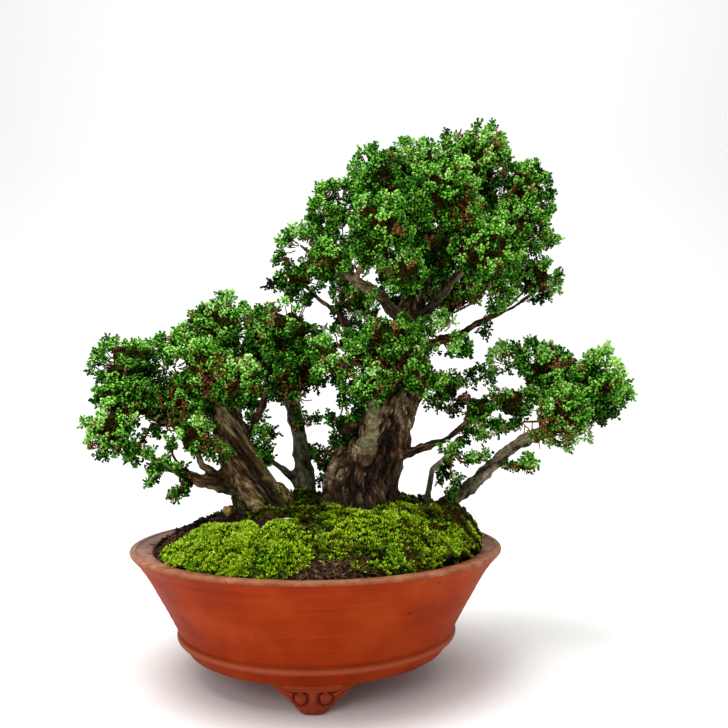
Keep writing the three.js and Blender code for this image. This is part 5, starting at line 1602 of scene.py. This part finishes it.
# %% Material: hinoki foliage
def hinoki_scales():
    """Green by the attribute `tone`, from painted shade in the depth of a pad to new tips, whose palest end
    is a painted highlight; `dry` turns old twigs and dead sprays red-brown. Scales are 1.1 mm cells: their
    seams are darker and sunk. Deep foliage has no shine."""
    leaf = blank_material("hinoki scale foliage")
    tone = add(leaf, "Attribute", attribute_name="tone")
    place = add(leaf, "TexCoord")
    scales = add(leaf, "TexVoronoi", {"Vector": (place, "Object"), "Scale": cells(1.111)})
    seam = add(leaf, "MapRange", {"Value": (scales, "Distance"), 1: 0.25, 2: 0.75, 3: 0.05, 4: -0.12})
    level = add(leaf, "Math", {0: (tone, "Fac"), 1: (seam, "Result")}, operation="ADD")
    # Its dark end is painted shade and its pale end a painted highlight.
    green = add(leaf, "ValToRGB", {"Fac": (level, "Value")},
                [(0.0, "#020300"), (0.2, "#072002"), (0.4, "#1d4e05"), (0.57, "#469514"), (0.74, "#8cd044"),
                 (0.93, "#c6ea90")])
    brown = add(leaf, "ValToRGB", {"Fac": (scales, "Distance")},
                [(0.15, "#d8a06f"), (0.4, "#8e4c28"), (0.75, "#33170a")])
    colour = layered(leaf, (green, "Color"), [("dry", (brown, "Color"))])
    shine = add(leaf, "MapRange", {"Value": (tone, "Fac"), 1: 0.2, 2: 0.7, 3: 0.0, 4: 0.2})
    relief = add(leaf, "Bump", {"Height": (scales, "Distance"), "Strength": 0.5, "Distance": 0.4 * MM},
                 invert=True)
    shader = add(leaf, "BsdfPrincipled", {"Base Color": colour, "Roughness": 0.5, "IOR": 1.45,
                                          "Specular IOR Level": (shine, "Result"),
                                          "Normal": (relief, "Normal")})
    add(leaf, "OutputMaterial", {"Surface": (shader, "BSDF")})
    return leaf


FOLIAGE = hinoki_scales()
print("foliage:", len(FOLIAGE.node_tree.nodes), "nodes")

# %% [markdown]
# ## Building each pad
# A pad is built part by part: heads and their twigs, a core where the part is large enough to need one,
# then its sprays and tangles. All its sprigs are placed last, twelve kinds in turn, and the whole is one
# piece, because a piece for each sprig would make the scene slow.

# %% Foliage: the sprigs and the tangles
SPRIGS_PER_HEAD = 4
THIRD_TURN = 2.094  # radians


def head_sprigs(places, facing, random):
    """Four sprigs per head: one along its direction f, and three that lean from it by 38 to 66 degrees,
    120 degrees apart: g = f cos l + (s cos a + t sin a) sin l, pulled up a little. Returns places and
    directions."""
    frames = frames_along(facing, random)
    lean = np.radians(random.uniform(38, 66, (len(places), SPRIGS_PER_HEAD)))
    lean[:, 0] = np.radians(random.uniform(0, 16, len(places)))
    turn = np.arange(SPRIGS_PER_HEAD) * THIRD_TURN + random.normal(0, 0.3, lean.shape)
    grow = unit(np.einsum("nij,nkj->nki", frames, leaning(lean, turn)) + [0, 0, 0.22]).reshape(-1, 3)
    return np.repeat(places, SPRIGS_PER_HEAD, 0) + 0.6 * grow, grow


def tangle(ball, count, random):
    """Bare twigs 4 to 9 mm long that start near the middle of a ball (x, y, z, radius) and mostly point
    up."""
    start = np.array(ball[:3]) + ball[3] * 0.55 * random.normal(size=(count, 3))
    run = unit(random.normal(size=(count, 3)) + [0, 0, 0.8]) * random.uniform(4, 9, (count, 1))
    kept = ~in_window(start, 1.0)
    return thin_tubes(start[kept], (start + run)[kept], 0.55, 0.35)


def all_sprigs(node, brightness, places, facing, random):
    """The sprigs of a pad, kind by kind, as forms. Their tone is painted light and shade: the pad's
    brightness, lighter on the right of the tree and where they point up, and darker in hollows, with
    patches of 14 mm. Some in patches of 9 mm have withered."""
    patch = np.repeat(0.1 * noise(places, 14, 81, 2) + random.normal(0, 0.09, len(places)), SPRIGS_PER_HEAD)
    feet, grow = head_sprigs(places, facing, random)
    withered = (noise(feet, 9, 91, 2) > 0.46) & (random.uniform(size=len(feet)) < 0.45)
    # Painted shade in the hollows of the shell, and painted light on the right of the tree and on sprigs
    # that point up.
    hollow = 0.2 * smooth_step(-noise(feet, 11, 61, 2), 0.25, 0.7)
    level = 0.6 + 0.06 * node.startswith("leaf_right") + brightness + patch - hollow
    level += 0.12 * grow[:, 2] + random.normal(0, 0.07, len(feet))
    kind = random.integers(0, SPRIG_KINDS, len(feet))
    size = random.uniform(0.9, 1.32, len(feet)) * (1 - 0.2 * withered)
    turns = frames_along(grow, random) * size[:, None, None]
    for k, (shape, faces, light) in enumerate(SPRIGS):
        mine = kind == k
        shading = np.clip(level[mine][:, None] - 0.5 * (1 - light)[None], 0.02, 1)
        yield (*scattered(shape, faces, turns[mine], feet[mine]),
               {"tone": shading.ravel(), "dry": np.repeat(withered[mine] * 0.85, len(shape))})


print("a head has", SPRIGS_PER_HEAD * len(SPRIG_PLAN), "lobes")

# %% Foliage: building each pad
CORE_SHARE = 0.55
CORE_MINIMUM = 9.5  # a part needs this radius to have a core
SLOTS = {BRIGHT: "leaf_bright", PLAIN: "leaf", SHADED: "leaf_dark"}


def pad(node, brightness, parts):
    """Twigs, cores, sprays, tangles and sprigs of one pad, joined in one piece."""
    random = np.random.default_rng(sum(map(ord, node)) * 13)
    parts = np.array(parts, float)
    forms, heads = [], []
    for part in parts:
        places, facing = shell_heads(part, random)
        heads.append((places, facing))
        twigs = thin_tubes(part[:3] + 0.5 * (places - part[:3]), places, 0.5, 0.35)
        forms.append((*twigs, {"tone": 0.15, "dry": 0.55}))
        if part[3] > CORE_MINIMUM and not in_window(part[None, :3], 0.6 * part[3])[0]:
            core = core_ball(part, CORE_SHARE)
            # Painted shade: the core is dark green-black.
            tone = 0.2 + 0.12 * random.normal(size=len(core[0])).clip(-1, 2)
            forms.append((*core, {"tone": tone, "dry": 0.1}))
    for path in SPRAYS.get(node, []):
        heads.append(spray_heads(path, random))
        nearest = parts[np.argmin(np.linalg.norm(parts[:, :3] - path[0], axis=1)), :3]
        path = np.array([nearest, *path], float)
        forms.append((*thin_tubes(path[:-1], path[1:], 1.0, 0.8), {"tone": 0.15, "dry": 0.75}))
    for ball, count in TANGLES.get(node, []):
        forms.append((*tangle(ball, count, random), {"tone": random.uniform(0.15, 0.4), "dry": 0.8}))
    places, facing = (np.concatenate(group) for group in zip(*heads))
    forms.extend(all_sprigs(node, brightness, places, facing, random))
    points, faces, values = joined(forms)
    piece(node + "_sprigs", points, faces, FOLIAGE, node, SLOTS[brightness], values, flat=True)


for node, (brightness, parts) in PADS.items():
    pad(node, brightness, parts)
leaves = [count for name, count in TRIANGLES.items() if name.startswith("leaf")]
print("foliage:", sum(leaves), "triangles; largest pad", max(leaves))

# %% [markdown]
# ## Small things
# A worn ochre pebble lies in the moss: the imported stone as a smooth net. The plastic mesh over the drain
# hole shows only from below. It keeps its packed form and only needs a finish.


# %% Pebble
def pebble():
    """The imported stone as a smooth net, set upright and a little uneven."""
    points, quads, normals = even_net("pebble", 0.5, 6)
    middle = points.mean(0)
    upright = middle + [0, 0, 0.8] + (points - middle) * [0.9, 0.9, 1.35]
    return upright + normals * (0.35 * noise(points, 3, 4, 2))[:, None], [quads]


# Ochre stone, worn smooth: a fine speckle of 2 mm and a faint gloss.
STONE_SKIN = mottled("worn ochre stone", 2, 4, [(0.3, "#6e5218"), (0.6, "#a8862c"), (0.8, "#c8aa5a")],
                     {"Roughness": 0.5})
piece("pebble_worn", *pebble(), STONE_SKIN, "pebble", "pebble")


# %% Drain screen
def screen_plastic():
    """Black polyethylene mesh, dull from use, with fine scratches 1.25 mm apart."""
    plastic = blank_material("black polyethylene mesh")
    place = add(plastic, "TexCoord")
    scratches = add(plastic, "TexNoise", {"Vector": (place, "Object"), "Scale": cells(1.25), "Detail": 3})
    relief = add(plastic, "Bump", {"Height": (scratches, "Fac"), "Strength": 0.2, "Distance": 0.1 * MM})
    shader = add(plastic, "BsdfPrincipled", {"Base Color": linear("#1c1d1c"), "Roughness": 0.6,
                                             "Normal": (relief, "Normal")})
    add(plastic, "OutputMaterial", {"Surface": (shader, "BSDF")})
    return plastic


screen = frame["nodes"]["drain_screen"]
screen.data.materials.clear()
screen.data.materials.append(screen_plastic())
print("drain screen:", screen.data.materials[0].name)

# %% Count all triangles and finish
print("all pieces:", sum(TRIANGLES.values()), "triangles")
